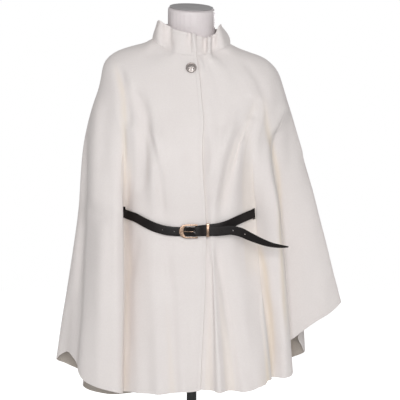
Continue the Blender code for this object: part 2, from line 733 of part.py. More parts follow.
def punch_mesh(centre, direction, radius):
    """A short rod through the strap, along a direction."""
    depth = STRAP_THICKNESS * PUNCH_REACH
    side = np.cross(direction, (0.0, 0.0, 1.0))
    side /= np.linalg.norm(side)
    up = np.cross(side, direction)
    mesh = bmesh.new()
    rings = []
    for end in (-0.5, 0.5):
        ring = []
        for k in range(PUNCH_SIDES):
            angle = 2 * math.pi * (k + 0.5) / PUNCH_SIDES
            spoke = side * math.cos(angle) + up * math.sin(angle)
            ring.append(mesh.verts.new((centre + direction * depth * end + spoke * radius) * MM))
        rings.append(ring)
    for k in range(PUNCH_SIDES):
        n = (k + 1) % PUNCH_SIDES
        mesh.faces.new([rings[0][k], rings[0][n], rings[1][n], rings[1][k]])
    mesh.faces.new(rings[0])
    mesh.faces.new(rings[1])
    bmesh.ops.recalc_face_normals(mesh, faces=mesh.faces)
    data = bpy.data.meshes.new("strap_punch")
    mesh.to_mesh(data)
    mesh.free()
    return data


def round_ended(half_height, left, right, arc_width, count=14):
    """An outline with a straight right end and a left end that is half an ellipse, as (x, z) points."""
    centre = left + arc_width
    points = [(right, -half_height), (right, half_height)]
    for k in range(count + 1):
        angle = math.pi / 2 + math.pi * k / count
        points.append((centre + arc_width * math.cos(angle), half_height * math.sin(angle)))
    return points


def flat_plate(name, outlines, thickness, rounding):
    """A flat plate in the XZ plane, from an outer outline and the outlines of its windows."""
    curve = bpy.data.curves.new(name, "CURVE")
    curve.dimensions = "2D"
    curve.fill_mode = "BOTH"
    curve.extrude = (thickness / 2 - rounding) * MM
    curve.bevel_depth = rounding * MM
    curve.bevel_resolution = 1
    curve.offset = -rounding * MM
    for outline in outlines:
        spline = curve.splines.new("POLY")
        spline.points.add(len(outline) - 1)
        for point, (x, z) in zip(spline.points, outline):
            point.co = (x * MM, z * MM, 0.0, 1.0)
        spline.use_cyclic_u = True
    return curve


def make_frame(collection, gold):
    """The buckle's flat frame: round at its tip, with a window and a straight bar."""
    outer = round_ended(FRAME_HEIGHT / 2, FRAME_LEFT, FRAME_RIGHT, FRAME_ARC)
    window_left = FRAME_LEFT + FRAME_TIP
    window_right = FRAME_RIGHT - FRAME_BAR
    window = round_ended(FRAME_HEIGHT / 2 - FRAME_SIDE, window_left, window_right, FRAME_WINDOW_ARC)
    plate = flat_plate("belt_buckle", (outer, window), FRAME_THICKNESS, FRAME_ROUNDING)
    frame = place(collection, "belt_buckle", plate, gold)
    frame.location = (0.0, FRAME_MIDDLE_Y * MM, FRAME_MIDDLE_Z * MM)
    frame.rotation_euler = (math.radians(90), 0.0, 0.0)


def make_prong(collection, gold):
    """The buckle's thin prong, from its loop at the bar to its tip on the frame."""
    line = bpy.data.curves.new("belt_prong", "CURVE")
    line.dimensions = "3D"
    line.bevel_depth = PRONG_RADIUS * MM
    line.bevel_resolution = 2
    line.use_fill_caps = True
    spline = line.splines.new("POLY")
    table = np.array(PRONG_POINTS, float)
    knots = knots_of(table)
    smooth = hermite(table, knots, np.linspace(0, knots[-1], PRONG_READS))
    spline.points.add(len(smooth) - 1)
    for point, place_mm in zip(spline.points, smooth):
        point.co = (*(place_mm * MM), 1.0)
    place(collection, "belt_prong", line, gold)


def make_keeper(collection, gold):
    """The square loop that keeps the tail flat on the strap."""
    corners = [
        (KEEPER_FRONT, KEEPER_LOW, -1, -1),
        (KEEPER_BACK, KEEPER_LOW, 1, -1),
        (KEEPER_BACK, KEEPER_HIGH, 1, 1),
        (KEEPER_FRONT, KEEPER_HIGH, -1, 1),
    ]
    ends = (KEEPER_X - KEEPER_WIDTH / 2, KEEPER_X + KEEPER_WIDTH / 2)
    columns_in = [[(x, y, z) for x in ends] for y, z, _, _ in corners]
    columns_out = [
        [(x, y + y_sign * KEEPER_WALL, z + z_sign * KEEPER_WALL) for x in ends]
        for y, z, y_sign, z_sign in corners
    ]
    data = wall_mesh("belt_keeper", np.array(columns_out, float), np.array(columns_in, float), closed=True)
    place(collection, "belt_keeper", data, gold)


def make_button(collection, silver):
    """The domed button with its turned rim and a short shank, standing on the over front."""
    grid, fold_column, _ = cloth_sheet()
    line = grid[fold_column[[fold.name for fold in FOLDS].index("over_middle")]]
    falling = line[::-1]
    y = np.interp(BUTTON_Z, falling[:, 2], falling[:, 1])
    y_below = np.interp(BUTTON_Z - BUTTON_SLOPE_REACH, falling[:, 2], falling[:, 1])
    tilt = math.atan2(BUTTON_SLOPE_REACH, y - y_below)
    mesh = bmesh.new()
    verts = [mesh.verts.new((r * MM, 0.0, h * MM)) for r, h in BUTTON_PROFILE]
    edges = [mesh.edges.new(pair) for pair in zip(verts, verts[1:])]
    turn = dict(cent=(0, 0, 0), axis=(0, 0, 1), angle=2 * math.pi, steps=BUTTON_SIDES, use_merge=True)
    bmesh.ops.spin(mesh, geom=verts + edges, **turn)
    bmesh.ops.remove_doubles(mesh, verts=mesh.verts, dist=0.00002)
    bmesh.ops.recalc_face_normals(mesh, faces=mesh.faces)
    data = bpy.data.meshes.new("button")
    mesh.to_mesh(data)
    mesh.free()
    data.shade_smooth()
    button = place(collection, "button", data, silver)
    button.rotation_euler = (tilt, 0.0, 0.0)
    button.location = (BUTTON_X * MM, y * MM, BUTTON_Z * MM)


def main():
    """Builds every piece in its collection."""
    clear_scene()
    parts = new_collection("cape_on_dress_form")
    cutters = new_collection("cutters")
    materials = {name: make_material(name) for name in MATERIALS}
    make_cape(parts, materials["ivory_wool"])
    make_collar(parts, materials["ivory_wool"])
    make_form(parts, materials["white_form"])
    make_stand(parts, materials["black_stand"])
    make_strap(parts, materials["black_leather"], cutters)
    make_frame(parts, materials["pale_gold"])
    make_prong(parts, materials["pale_gold"])
    make_keeper(parts, materials["pale_gold"])
    make_button(parts, materials["silver_button"])


main()
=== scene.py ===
"""The looks of a short wool cape with a stand collar and a narrow leather belt, worn by a dress form.

Tables are in millimetres and are turned to metres where meshes are made. The cloth follows the same
lines as its CAD solids, read more finely, and the softer folds are then pressed and raised along the
strokes of FOLD_STROKES and BACK_STROKES.
"""

import json
import logging
import math
from dataclasses import dataclass
from enum import Enum
from typing import NamedTuple

import bmesh
import bpy
import numpy as np
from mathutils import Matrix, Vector

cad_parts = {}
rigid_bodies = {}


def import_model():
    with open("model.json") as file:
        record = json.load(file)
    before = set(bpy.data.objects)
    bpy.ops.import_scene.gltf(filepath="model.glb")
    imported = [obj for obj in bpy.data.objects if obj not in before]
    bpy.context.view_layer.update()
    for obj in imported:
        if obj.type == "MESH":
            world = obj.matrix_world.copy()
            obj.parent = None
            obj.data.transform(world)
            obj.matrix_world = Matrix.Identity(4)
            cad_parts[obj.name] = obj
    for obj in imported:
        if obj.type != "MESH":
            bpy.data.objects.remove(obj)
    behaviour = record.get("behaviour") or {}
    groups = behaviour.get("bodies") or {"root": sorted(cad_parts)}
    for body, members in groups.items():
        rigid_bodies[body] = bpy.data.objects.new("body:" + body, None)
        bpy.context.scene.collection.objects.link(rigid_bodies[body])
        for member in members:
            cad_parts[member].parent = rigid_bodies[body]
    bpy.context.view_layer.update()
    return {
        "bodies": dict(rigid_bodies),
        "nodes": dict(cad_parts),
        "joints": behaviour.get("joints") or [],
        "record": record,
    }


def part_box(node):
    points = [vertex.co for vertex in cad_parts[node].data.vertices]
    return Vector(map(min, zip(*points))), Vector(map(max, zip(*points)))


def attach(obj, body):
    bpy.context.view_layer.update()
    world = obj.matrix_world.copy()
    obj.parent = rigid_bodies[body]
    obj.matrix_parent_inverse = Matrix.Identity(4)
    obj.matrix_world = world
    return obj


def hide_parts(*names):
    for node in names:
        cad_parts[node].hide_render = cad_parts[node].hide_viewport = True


MM = 0.001
LOG = logging.getLogger("cape_scene")
Socket = bpy.types.NodeSocket
SMOOTH_ANGLE = math.radians(50)
WHITE = (1.0, 1.0, 1.0, 1.0)

# The shoulders' slope towards +X, which grows between these heights
LEAN = math.tan(math.radians(2.6))
LEAN_LOW = 1000.0
LEAN_HIGH = 1300.0

# What a cloth point stores for the wool: how much painted warm bounce light its folds give it, and its place
# by the nearest free edge
CLOTH_ATTRIBUTES = ("painted_fold_glow", "from_edge", "along_edge")


class Ring(NamedTuple):
    """One ring of the cape's yoke, where it lies over the shoulders."""

    name: str
    right_x: float
    left_x: float
    front_y: float
    back_y: float
    side_z: float
    front_z: float
    back_z: float
    ripple: float


class Fold(NamedTuple):
    """One line of the cape from neck to hem: a ridge, a groove or an edge."""

    panel: str
    name: str
    angle: float
    lift: float
    chest_x: float
    chest_y: float
    belt_x: float
    belt_y: float
    hem_x: float
    hem_y: float
    hem_z: float


class CollarLine(NamedTuple):
    """One upright line of the collar: its place round the neck, and its top."""

    name: str
    angle: float
    top_x: float
    top_y: float
    top_z: float


class StrapPoint(NamedTuple):
    """One point on the middle of the belt's strap."""

    name: str
    x: float
    y: float
    z: float
    width: float = 20.0
    twist: float = 0.0


class Stroke(Enum):
    """How a fold stroke shapes the cloth across its line."""

    VALLEY = "a soft hollow"
    CREASE = "a sharp-bottomed hollow"
    RIDGE = "a soft rise"


VALLEY, CREASE, RIDGE = Stroke


class FoldStroke(NamedTuple):
    """One soft fold on the front of the cape, along points (x, z) seen from the front."""

    name: str
    kind: Stroke
    depth: float
    width: float
    path: tuple
    # How strongly the stroke paints warm bounce light into the cloth's colour along its line.
    glow: float = 0.0


RINGS = [Ring(*row) for row in (
    ("neck", -90, 89, -73, 76, 1415, 1384, 1424, 1.0),
    ("mid_shoulder", -150, 151, -91, 96, 1399, 1334, 1380, 0.4),
    ("shoulder", -198, 195, -109, 112, 1367, 1275, 1320, 0.0),
    ("upper_arm", -220, 223, -121, 118, 1287, 1238, 1262, 0.0),
)]
NECK_RIPPLES = [
    (-14, 0.0), (10, -1.0), (18, -3.0), (27, 1.5), (36, -5.0), (56, 1.0), (80, 0.0), (280, 0.0), (302, 1.5),
    (315, -5.0), (328, -1.0), (340, 0.5), (352, -1.5), (361, 0.0), (375, 0.0),
]

FOLDS = [Fold(panel, *row) for panel, rows in {
    "front_left": (
        ("under_edge", -6, -2.0, -18, -121, -15, -92, -12, -121, 646),
        ("under_opening", 4, -2.4, 14, -123, 15, -93, 12, -122, 645),
        ("opening", 9.5, -2.0, 30, -124, 36, -94, 28, -122, 643),
        ("groove_by_opening", 15, 0, 48, -130, 42, -97, 43, -123, 643),
        ("ridge_by_opening", 20.5, 0, 66, -134, 49, -98, 60, -143, 642),
        ("bust_groove", 31, 0, 99, -120, 64, -92, 86, -123, 645),
        ("bust_ridge", 36.5, 0, 113, -121, 94, -83, 118, -138, 645),
        ("slit_groove", 41, 0, 127, -106, 120, -60, 150, -135, 651),
        ("slit_inner", 44.5, 0, 135, -103, 139, -42, 172, -127, 657),
        ("slit_outer", 47, 0, 141, -100, 144.5, -43.5, 180, -112, 663),
        ("side_groove", 50, 0, 147, -97, 150, -50, 173, -72, 662),
        ("side_panel", 56, 0, 160, -90, 170, -66, 192, -76, 660),
        ("side_panel_edge", 63, 0, 176, -78, 196, -70, 215, -79, 660),
        ("side_panel_turn", 67, 0, 182, -66, 201, -56, 230, -66, 664),
        ("side_panel_inside", 70, 0, 183, -56, 194, -34, 228, -41, 695),
        ("wing_groove", 73, 0, 186, -50, 196, -16, 223, -18, 727),
        ("wing_front", 77, 0, 200, -42, 215, -13, 242, -11, 743),
        ("wing_face", 82, 0, 220, -26, 250, -8, 285, -4, 773),
        ("wing_side", 87, 0, 239, -8, 278, 2, 326, 8, 797),
    ),
    "back": (
        ("left_side", 91, 0, 247, 6, 292, 14, 348, 22, 817),
        ("left_wing_back", 101, 0, 238, 42, 280, 46, 316, 50, 800),
        ("left_wing_hollow", 109, 0, 220, 64, 252, 64, 252, 52, 735),
        ("left_back_fold", 118, 0, 204, 86, 238, 90, 266, 78, 690),
        ("left_back_inside", 125, 0, 184, 98, 214, 112, 238, 106, 669),
        ("left_blade", 138, 0, 140, 113, 160, 138, 178, 152, 634),
        ("left_middle", 152, 0, 94, 121, 106, 156, 118, 188, 604),
        ("back_groove", 168, 0, 44, 121, 48, 149, 52, 172, 588),
        ("back_ridge", 184, 0, -10, 121, -12, 159, -14, 195, 580),
        ("right_middle", 200, 0, -66, 121, -74, 150, -80, 172, 576),
        ("right_blade", 216, 0, -118, 117, -132, 148, -142, 168, 572),
        ("right_back_ridge", 231, 0, -168, 105, -190, 126, -207, 132, 575),
        ("right_back_fold", 243, 0, -204, 86, -230, 98, -260, 98, 602),
        ("right_wing_hollow", 251, 0, -220, 66, -242, 66, -252, 64, 640),
        ("right_wing_back", 259, 0, -234, 38, -254, 44, -292, 48, 667),
    ),
    "front_right": (
        ("right_side", 268, 0, -243, 6, -263, 14, -313, 18, 684),
        ("wing_groove", 276, 0, -236, -20, -246, -22, -283, -12, 707),
        ("wing_ridge", 282, 0, -225, -42, -231, -54, -264, -54, 685),
        ("wing_face", 288, 0, -208, -60, -208, -82, -240, -88, 655),
        ("wing_front", 294, 0, -189, -73, -183, -98, -203, -108, 643),
        ("wing_edge", 302, 0, -168, -84, -161, -102, -162, -115, 634),
        ("wing_turn", 306, 0, -160, -88, -151.5, -92, -153, -105, 631),
        ("wing_inside", 308, 0, -155, -91, -154, -74, -154, -95, 631),
        ("side_groove", 310.5, 0, -150, -95, -160, -52, -157, -85, 631),
        ("slit_outer", 313, 0, -144, -99, -155.5, -43.5, -149, -86, 631),
        ("slit_inner", 316, 0, -138, -102, -150, -42, -141, -92, 632),
        ("side_panel", 322, 0, -122, -112, -130, -63, -118, -112, 633),
        ("bust_groove", 330, 0, -98, -120, -106, -79, -94, -123, 634),
        ("bust_ridge", 337, 0, -78, -133, -84, -89, -70, -138, 635),
        ("groove_by_bust", 343, 0, -58, -131, -61, -92, -44, -130, 637),
        ("ridge_by_opening", 350, 1.2, -34, -132, -34, -96.5, -20, -137, 640),
        ("over_middle", 358.5, 2.2, -5, -130, -2, -97.0, 2, -131, 640),
        ("over_edge", 367, 1.2, 25, -126.8, 33, -97.0, 20, -125.6, 642),
    ),
}.items() for row in rows]

COLLAR_LINES = [CollarLine(*row) for row in (
    ("under_end", -6, -16, -55.5, 1428),
    ("under_flat", 4, 12, -55, 1429),
    ("middle_plane", 12, 25, -53.5, 1428),
    ("middle_groove", 18, 32, -48.5, 1427),
    ("middle_ridge", 27, 42, -61, 1427),
    ("left_valley", 36, 52, -42.5, 1434),
    ("left_rise", 46, 60, -43, 1449),
    ("left_ridge", 60, 67, -33, 1458),
    ("left_peak", 77, 68, -12, 1458),
    ("left_side", 98, 67, 16, 1455),
    ("left_back", 132, 57, 52, 1453),
    ("back", 180, -2, 74, 1460),
    ("right_back", 228, -61, 53, 1459),
    ("right_side", 262, -75, 16, 1453),
    ("right_peak", 283, -78, -14, 1459),
    ("right_ridge", 302, -70, -42, 1459),
    ("right_valley", 315, -54, -40, 1450),
    ("right_rise", 324, -43, -50, 1443),
    ("right_flat", 336, -25, -61, 1438),
    ("over_flat", 346, -11, -64, 1435),
    ("over_groove", 353, -3, -60.5, 1434),
    ("over_roll", 361, 4, -69, 1433),
    ("over_end", 367, 10.5, -66, 1432),
)]

STRAP_POINTS = [StrapPoint(*row) for row in (
    ("stitched_end", 29, -100.4, 1000),
    ("stitched_turn", 20, -100.0, 999),
    ("bar_back", 13, -99.9, 998),
    ("bar_back_quarter", 10.8, -100.8, 998),
    ("bar_far_side", 9.9, -103.0, 998),
    ("bar_front_quarter", 10.8, -105.2, 998),
    ("bar_front", 13, -106.1, 998),
    ("loop_shoulder", 20, -104.9, 998.8),
    ("loop_foot", 28, -102.6, 1000),
    ("in_keeper", 37, -101.6, 1001.3),
    ("past_keeper", 55, -101.2, 1003),
    ("front_left_bend", 73, -98.2, 1006),
    ("front_left_side", 87, -92.4, 1010.5),
    ("left_waist", 104.6, -80.5, 1017.5),
    ("left_before_slit", 122, -63.5, 1023.5),
    ("left_at_slit", 141.6, -43.0, 1030),
    ("left_inside", 151, -16, 1034),
    ("left_hip", 151, 14, 1036),
    ("left_back_bend", 136, 52, 1038),
    ("left_back", 100, 82, 1040),
    ("back_left", 50, 97, 1041),
    ("back_middle", -2, 101, 1041),
    ("back_right", -54, 97, 1041),
    ("right_back", -106, 82, 1040),
    ("right_back_bend", -145, 52, 1038),
    ("right_hip", -163, 14, 1036),
    ("right_inside", -163, -16, 1034),
    ("right_at_slit", -152.7, -43.0, 1030),
    ("right_before_slit", -142, -57.5, 1027),
    ("right_waist", -126, -72.0, 1023),
    ("front_right_side", -104, -86.5, 1013),
    ("front_right_bend", -80, -95.0, 1003),
    ("front_right", -56, -98.8, 997.5),
    ("before_buckle", -36, -99.8, 995.5),
    ("under_frame_tip", -22, -100.0, 995.2),
    ("frame_window", -13, -100.2, 995.2),
    ("rise", -6, -102.2, 995.4),
    ("rise_top", 2, -105.8, 995.6),
    ("over_bar", 11, -108.3, 995.8),
    ("past_bar", 20, -107.2, 996),
    ("before_keeper", 30, -104.6, 996),
    ("tail_in_keeper", 38, -104.0, 996),
    ("tail_past_keeper", 50, -104.4, 996),
    ("tail_lifts", 66, -106.5, 995.6),
    ("tail_hump", 90, -110, 993.8, 20, 2),
    ("tail_bends", 110, -113, 989, 20, 6),
    ("tail_falls", 132, -116.5, 979, 18.5, 14),
    ("tail_twists", 157, -120, 970, 15.5, 22),
    ("tail_narrows", 184, -124, 964, 11, 30),
    ("tail_end", 204, -127, 961.8, 7, 38),
    ("tail_tip", 214, -128, 961.4, 3, 40),
)]
PRONG_POINTS = [
    (12.4, -105.7, 997.6), (9.6, -105.9, 997.3), (8.0, -106.8, 996.9), (6.6, -108.4, 996.5),
    (5.2, -109.7, 996.2), (1.5, -110.2, 996.1), (-11, -108.2, 996.0), (-24.5, -105.7, 996.0),
]

# The button's half section, from the middle of its face to the middle of its back: radius, height, and
# whether the face gets the painted dark reflection
BUTTON_PROFILE = [
    (0.0, 6.6, False), (1.0, 6.55, False), (2.2, 6.4, False), (3.4, 6.2, False), (4.6, 5.95, False),
    (5.8, 5.6, False), (7.0, 5.2, False), (7.9, 4.8, False), (8.6, 4.4, False), (9.0, 4.1, False),
    (9.4, 4.1, False), (9.8, 4.6, False), (10.2, 5.0, False), (10.7, 5.05, False), (11.2, 4.7, True),
    (11.6, 4.1, True), (11.8, 3.4, True), (11.6, 2.7, False), (11.2, 2.4, False), (7.0, 2.0, False),
    (4.0, 1.8, False), (3.6, 0.6, False), (0.0, 0.6, False),
]

BACK_STROKES = [FoldStroke(*row) for row in (
    ("back_middle_valley", VALLEY, 9, 24, ((6, 1190), (10, 1000), (17, 800), (22, 520)), 0.2),
    ("back_left_swell", RIDGE, 8, 24, ((58, 1200), (72, 1000), (90, 800), (102, 520))),
    ("back_right_swell", RIDGE, 8, 24, ((-50, 1210), (-62, 1000), (-76, 800), (-84, 520))),
    ("back_left_valley", VALLEY, 11, 20, ((108, 1250), (130, 1000), (152, 800), (168, 540)), 0.3),
    ("back_right_valley", VALLEY, 11, 20, ((-104, 1250), (-124, 1000), (-142, 800), (-150, 520)), 0.3),
    ("back_left_crease", CREASE, 6, 10, ((162, 1300), (192, 1100), (220, 900), (246, 620)), 0.4),
    ("back_right_crease", CREASE, 6, 10, ((-160, 1300), (-188, 1100), (-210, 900), (-230, 560)), 0.4),
    ("back_left_side", RIDGE, 7, 18, ((184, 1240), (226, 1000), (262, 800), (280, 600))),
    ("back_right_side", RIDGE, 6, 18, ((-186, 1230), (-226, 1000), (-252, 800), (-264, 600))),
    ("back_neck_drag", VALLEY, 3, 12, ((-84, 1352), (-30, 1322), (24, 1320), (86, 1350))),
)]

FOLD_STROKES = [FoldStroke(*row) for row in (
    ("right_shoulder_shade", VALLEY, 9, 10,
     ((-167, 1370), (-156, 1339), (-148, 1303), (-141, 1263), (-139, 1219))),
    ("left_bust_shade", VALLEY, 5, 16, ((147, 1294), (138, 1266), (133, 1240))),
    ("left_arm_shade", VALLEY, 3, 12, ((109, 1383), (135, 1352), (158, 1312), (171, 1272))),
    ("collar_right_ridge", RIDGE, 4, 8, ((-73, 1462), (-74, 1431), (-70, 1409), (-63, 1387))),
    ("collar_right_valley", VALLEY, 8, 7, ((-52, 1462), (-52, 1431), (-50, 1409), (-43, 1383))),
    ("collar_middle_groove", CREASE, 5.5, 4.5, ((-4, 1444), (-3, 1407), (1, 1369))),
    ("collar_over_ridge", RIDGE, 4.5, 4.5, ((4, 1444), (8, 1404), (13, 1382), (21, 1367), (23, 1334))),
    ("collar_left_groove", CREASE, 7.5, 5, ((31, 1440), (31, 1402), (27, 1374))),
    ("collar_left_ridge", RIDGE, 4.5, 5, ((40, 1440), (40, 1396), (44, 1367))),
    ("collar_left_valley", VALLEY, 4, 5, ((50, 1440), (49, 1405), (47, 1378))),
    ("collar_left_roll", RIDGE, 3, 9, ((66, 1450), (70, 1414), (80, 1390))),
    ("right_arm_light", RIDGE, 5, 20,
     ((-190, 1365), (-174, 1308), (-177, 1196), (-191, 1062), (-199, 858), (-205, 653), (-209, 550))),
    ("right_chest_valley", VALLEY, 15, 13,
     ((-138, 1329), (-119, 1289), (-106, 1259), (-101, 1232), (-106, 1175), (-117, 1073))),
    ("right_chest_notch", CREASE, 4, 6, ((-112, 1270), (-101, 1237), (-101, 1205))),
    ("right_bust_ridge", RIDGE, 2.5, 14, ((-90, 1306), (-85, 1241), (-88, 1132), (-90, 1044))),
    ("right_bust_groove", VALLEY, 7, 9, ((-94, 1225), (-81, 1171), (-68, 1076), (-64, 1017))),
    ("under_light", RIDGE, 3, 9, ((36, 1303), (41, 1219), (46, 1164), (33, 1074))),
    ("under_diagonal", VALLEY, 4, 9, ((62, 1268), (64, 1197), (52, 1132), (36, 1070))),
    ("diagonal_ridge", RIDGE, 3.5, 12, ((98, 1277), (85, 1215), (60, 1162), (46, 1099))),
    ("left_armhole_groove", CREASE, 3.5, 9,
     ((156, 1312), (136, 1263), (125, 1232), (128, 1175), (128, 1086), (124, 1051)), 0.15),
    ("left_armhole_light", RIDGE, 3, 10, ((165, 1285), (148, 1219), (144, 1130), (142, 1053))),
    ("left_under_belt", CREASE, 3.5, 9,
     ((136, 1000), (149, 964), (163, 911), (172, 839), (179, 748), (179, 657), (181, 550)), 1.0),
    ("left_belt_pull", VALLEY, 3, 9, ((99, 968), (131, 952), (157, 922))),
    ("opening_light", RIDGE, 3, 10, ((30, 964), (32, 844), (30, 642), (29, 540))),
    ("right_skirt_crease", CREASE, 2, 6,
     ((-150, 1004), (-143, 963), (-146, 839), (-151, 629), (-153, 530)), 0.5),
    ("right_skirt_pull", VALLEY, 2, 9, ((-118, 984), (-129, 941), (-141, 875))),
    ("right_skirt_groove", VALLEY, 4, 12, ((-64, 976), (-53, 927), (-43, 843), (-38, 700), (-36, 560))),
    ("right_arm_crease", CREASE, 8, 7,
     ((-176, 1383), (-165, 1341), (-154, 1296), (-150, 1241), (-148, 1174), (-148, 1049)), 0.6),
    ("diagonal_groove", VALLEY, 8, 12, ((134, 1254), (123, 1228), (99, 1169), (79, 1100), (68, 1025)), 0.1),
    ("left_skirt_groove", CREASE, 14, 11, ((53, 977), (62, 928), (73, 855), (84, 776), (98, 619)), 0.05),
    ("left_skirt_fold", VALLEY, 8, 8, ((37, 977), (42, 866), (42, 755), (44, 598))),
    ("left_skirt_edge", VALLEY, 12, 32, ((150, 862), (158, 796), (167, 690), (172, 547))),
    ("right_wing_groove", VALLEY, 11, 9,
     ((-235, 1241), (-242, 1173), (-247, 1076), (-255, 940), (-260, 801), (-268, 699), (-273, 602))),
    ("left_skirt_shade", VALLEY, 6, 16, ((77, 942), (95, 842), (115, 741), (131, 644))),
    ("right_arm_edge", RIDGE, 8, 17,
     ((-199, 1322), (-206, 1259), (-211, 1184), (-214, 1094), (-219, 1003))),
    ("left_arm_edge", RIDGE, 6, 14, ((239, 1290), (253, 1229), (267, 1150))),
    ("left_arm_fill", RIDGE, 5, 12, ((218, 1285), (208, 1260), (198, 1236), (188, 1209))),
    ("left_arm_crease", CREASE, 4.5, 8,
     ((165, 1317), (166, 1259), (170, 1223), (183, 1174), (195, 1124), (202, 994),
      (209, 858), (219, 732)), 0.8),
)]


def smoothstep(value: np.ndarray, low: float, high: float) -> np.ndarray:
    """The usual soft step from 0 at low to 1 at high."""
    share = np.clip((value - low) / (high - low), 0.0, 1.0)
    return share * share * (3.0 - 2.0 * share)


def bell(value: np.ndarray, middle: float, width: float) -> np.ndarray:
    """A soft bump of 1 at the middle, which falls away over the width."""
    return np.exp(-(((value - middle) / width) ** 2))


def knots_of(points: np.ndarray) -> np.ndarray:
    """Distances along a chain of points, from its first."""
    steps = np.linalg.norm(np.diff(points, axis=0), axis=1)
    return np.concatenate([[0.0], np.cumsum(np.maximum(steps, 1e-6))])


def hermite(points: np.ndarray, knots: np.ndarray, at: np.ndarray) -> np.ndarray:
    """A smooth curve through points.

    Args:
        points: One row for each point.
        knots: Where along the curve each point lies.
        at: The places to read.

    Returns:
        One row for each place.
    """
    points = np.asarray(points, float)
    knots = np.asarray(knots, float)
    gaps = np.diff(knots)
    slopes = np.diff(points, axis=0) / gaps[:, None]
    tangents = np.empty_like(points)
    tangents[0], tangents[-1] = slopes[0], slopes[-1]
    before, after = gaps[:-1, None], gaps[1:, None]
    tangents[1:-1] = (slopes[:-1] * after + slopes[1:] * before) / (before + after)
    i = np.clip(np.searchsorted(knots, at, side="right") - 1, 0, len(gaps) - 1)
    gap = gaps[i][:, None]
    t = ((at - knots[i]) / gaps[i])[:, None]
    return (
        points[i] * (2 * t**3 - 3 * t**2 + 1)
        + tangents[i] * gap * (t**3 - 2 * t**2 + t)
        + points[i + 1] * (3 * t**2 - 2 * t**3)
        + tangents[i + 1] * gap * (t**3 - t**2)
    )


def unit(vectors: np.ndarray) -> np.ndarray:
    """Vectors made one long."""
    return vectors / np.maximum(np.linalg.norm(vectors, axis=-1, keepdims=True), 1e-9)


def sheet_normals(grid: np.ndarray) -> np.ndarray:
    """Outward unit normals of a grid [column, row] whose columns run round from the front to +X."""
    return unit(np.cross(np.gradient(grid, axis=1), np.gradient(grid, axis=0)))


def calm_normals(grid: np.ndarray, rounds: int) -> np.ndarray:
    """Outward normals that turn slowly, so that offsets along them don't fold over themselves."""
    normals = sheet_normals(grid)
    for _ in range(rounds):
        normals[1:-1] = unit(normals[:-2] + 2 * normals[1:-1] + normals[2:])
        normals[:, 1:-1] = unit(normals[:, :-2] + 2 * normals[:, 1:-1] + normals[:, 2:])
    return normals


def reverse_of(grid: np.ndarray, thickness: float) -> np.ndarray:
    """The inner face of a cloth whose outer face is the grid."""
    return grid - calm_normals(grid, 4) * thickness


def hollowness(grid: np.ndarray) -> np.ndarray:
    """How far each point of a sheet lies sunk between its neighbours on both sides, from 0 to 1."""
    normals = sheet_normals(grid)
    total = np.zeros(grid.shape[:2])
    for step in (2, 4):
        left, right = np.roll(grid, step, axis=0), np.roll(grid, -step, axis=0)
        left[:step], right[-step:] = grid[:step], grid[-step:]
        total += np.einsum("ijk,ijk->ij", (left + right) / 2 - grid, normals)
    for _ in range(3):
        total[1:-1] = (total[:-2] + 2 * total[1:-1] + total[2:]) / 4
        total[:, 1:-1] = (total[:, :-2] + 2 * total[:, 1:-1] + total[:, 2:]) / 4
    return smoothstep(total, 1.6, 7.0)


def leaned(points: np.ndarray) -> np.ndarray:
    """The points after the shoulders' slope: what is above the waist drops towards +X."""
    out = np.array(points, float)
    out[..., 2] -= out[..., 0] * LEAN * smoothstep(out[..., 2], LEAN_LOW, LEAN_HIGH)
    return out


class Graph:
    """A shader node tree while it is being wired."""

    def __init__(self, tree: bpy.types.NodeTree) -> None:
        """Keeps the tree."""
        self.tree = tree

    def feed(self, node: bpy.types.Node, inputs: dict) -> bpy.types.Node:
        """Gives a node what comes into it.

        Args:
            node: The node.
            inputs: A value, or another node's output socket, for each named or numbered input.

        Returns:
            The node.
        """
        for key, value in inputs.items():
            if isinstance(value, Socket):
                self.tree.links.new(value, node.inputs[key])
            else:
                node.inputs[key].default_value = value
        return node

    def add(self, kind: str, inputs: dict | None = None, **settings: object) -> bpy.types.Node:
        """Adds one shader node of a kind, with its own settings, and feeds its inputs."""
        made = self.tree.nodes.new(f"ShaderNode{kind}")
        for name, value in settings.items():
            setattr(made, name, value)
        return self.feed(made, inputs or {})

    def noise(self, vector: Socket, scale: float, detail: float = 3.0, rough: float = 0.55) -> Socket:
        """A noise value from 0 to 1."""
        inputs = {"Vector": vector, "Scale": scale, "Detail": detail, "Roughness": rough}
        return self.add("TexNoise", inputs).outputs["Fac"]

    def stretch(self, vector: Socket, scale: tuple) -> Socket:
        """The vector scaled along its axes."""
        return self.add("Mapping", {"Vector": vector, "Scale": scale}).outputs["Vector"]

    def remap(self, value: Socket, low: float, high: float, to_low: float, to_high: float) -> Socket:
        """A value moved from one range to another, and held inside it."""
        return self.add("MapRange", {0: value, 1: low, 2: high, 3: to_low, 4: to_high}).outputs[0]

    def math(self, operation: str, first: object, second: object = 0.0) -> Socket:
        """One sum of two values."""
        return self.add("Math", {0: first, 1: second}, operation=operation).outputs[0]

    def weighted(self, first: Socket, first_weight: float, second: Socket, second_weight: float) -> Socket:
        """Two values added by their weights."""
        shares = self.math("MULTIPLY", first, first_weight), self.math("MULTIPLY", second, second_weight)
        return self.math("ADD", *shares)

    def mix(self, share: object, first: object, second: object) -> Socket:
        """One colour mixed into another."""
        return self.add("Mix", {0: share, 6: first, 7: second}, data_type="RGBA").outputs[2]

    def bump(self, height: Socket, strength: float, distance: float) -> Socket:
        """A shading normal from a height."""
        inputs = {"Height": height, "Strength": strength, "Distance": distance}
        return self.add("Bump", inputs).outputs["Normal"]


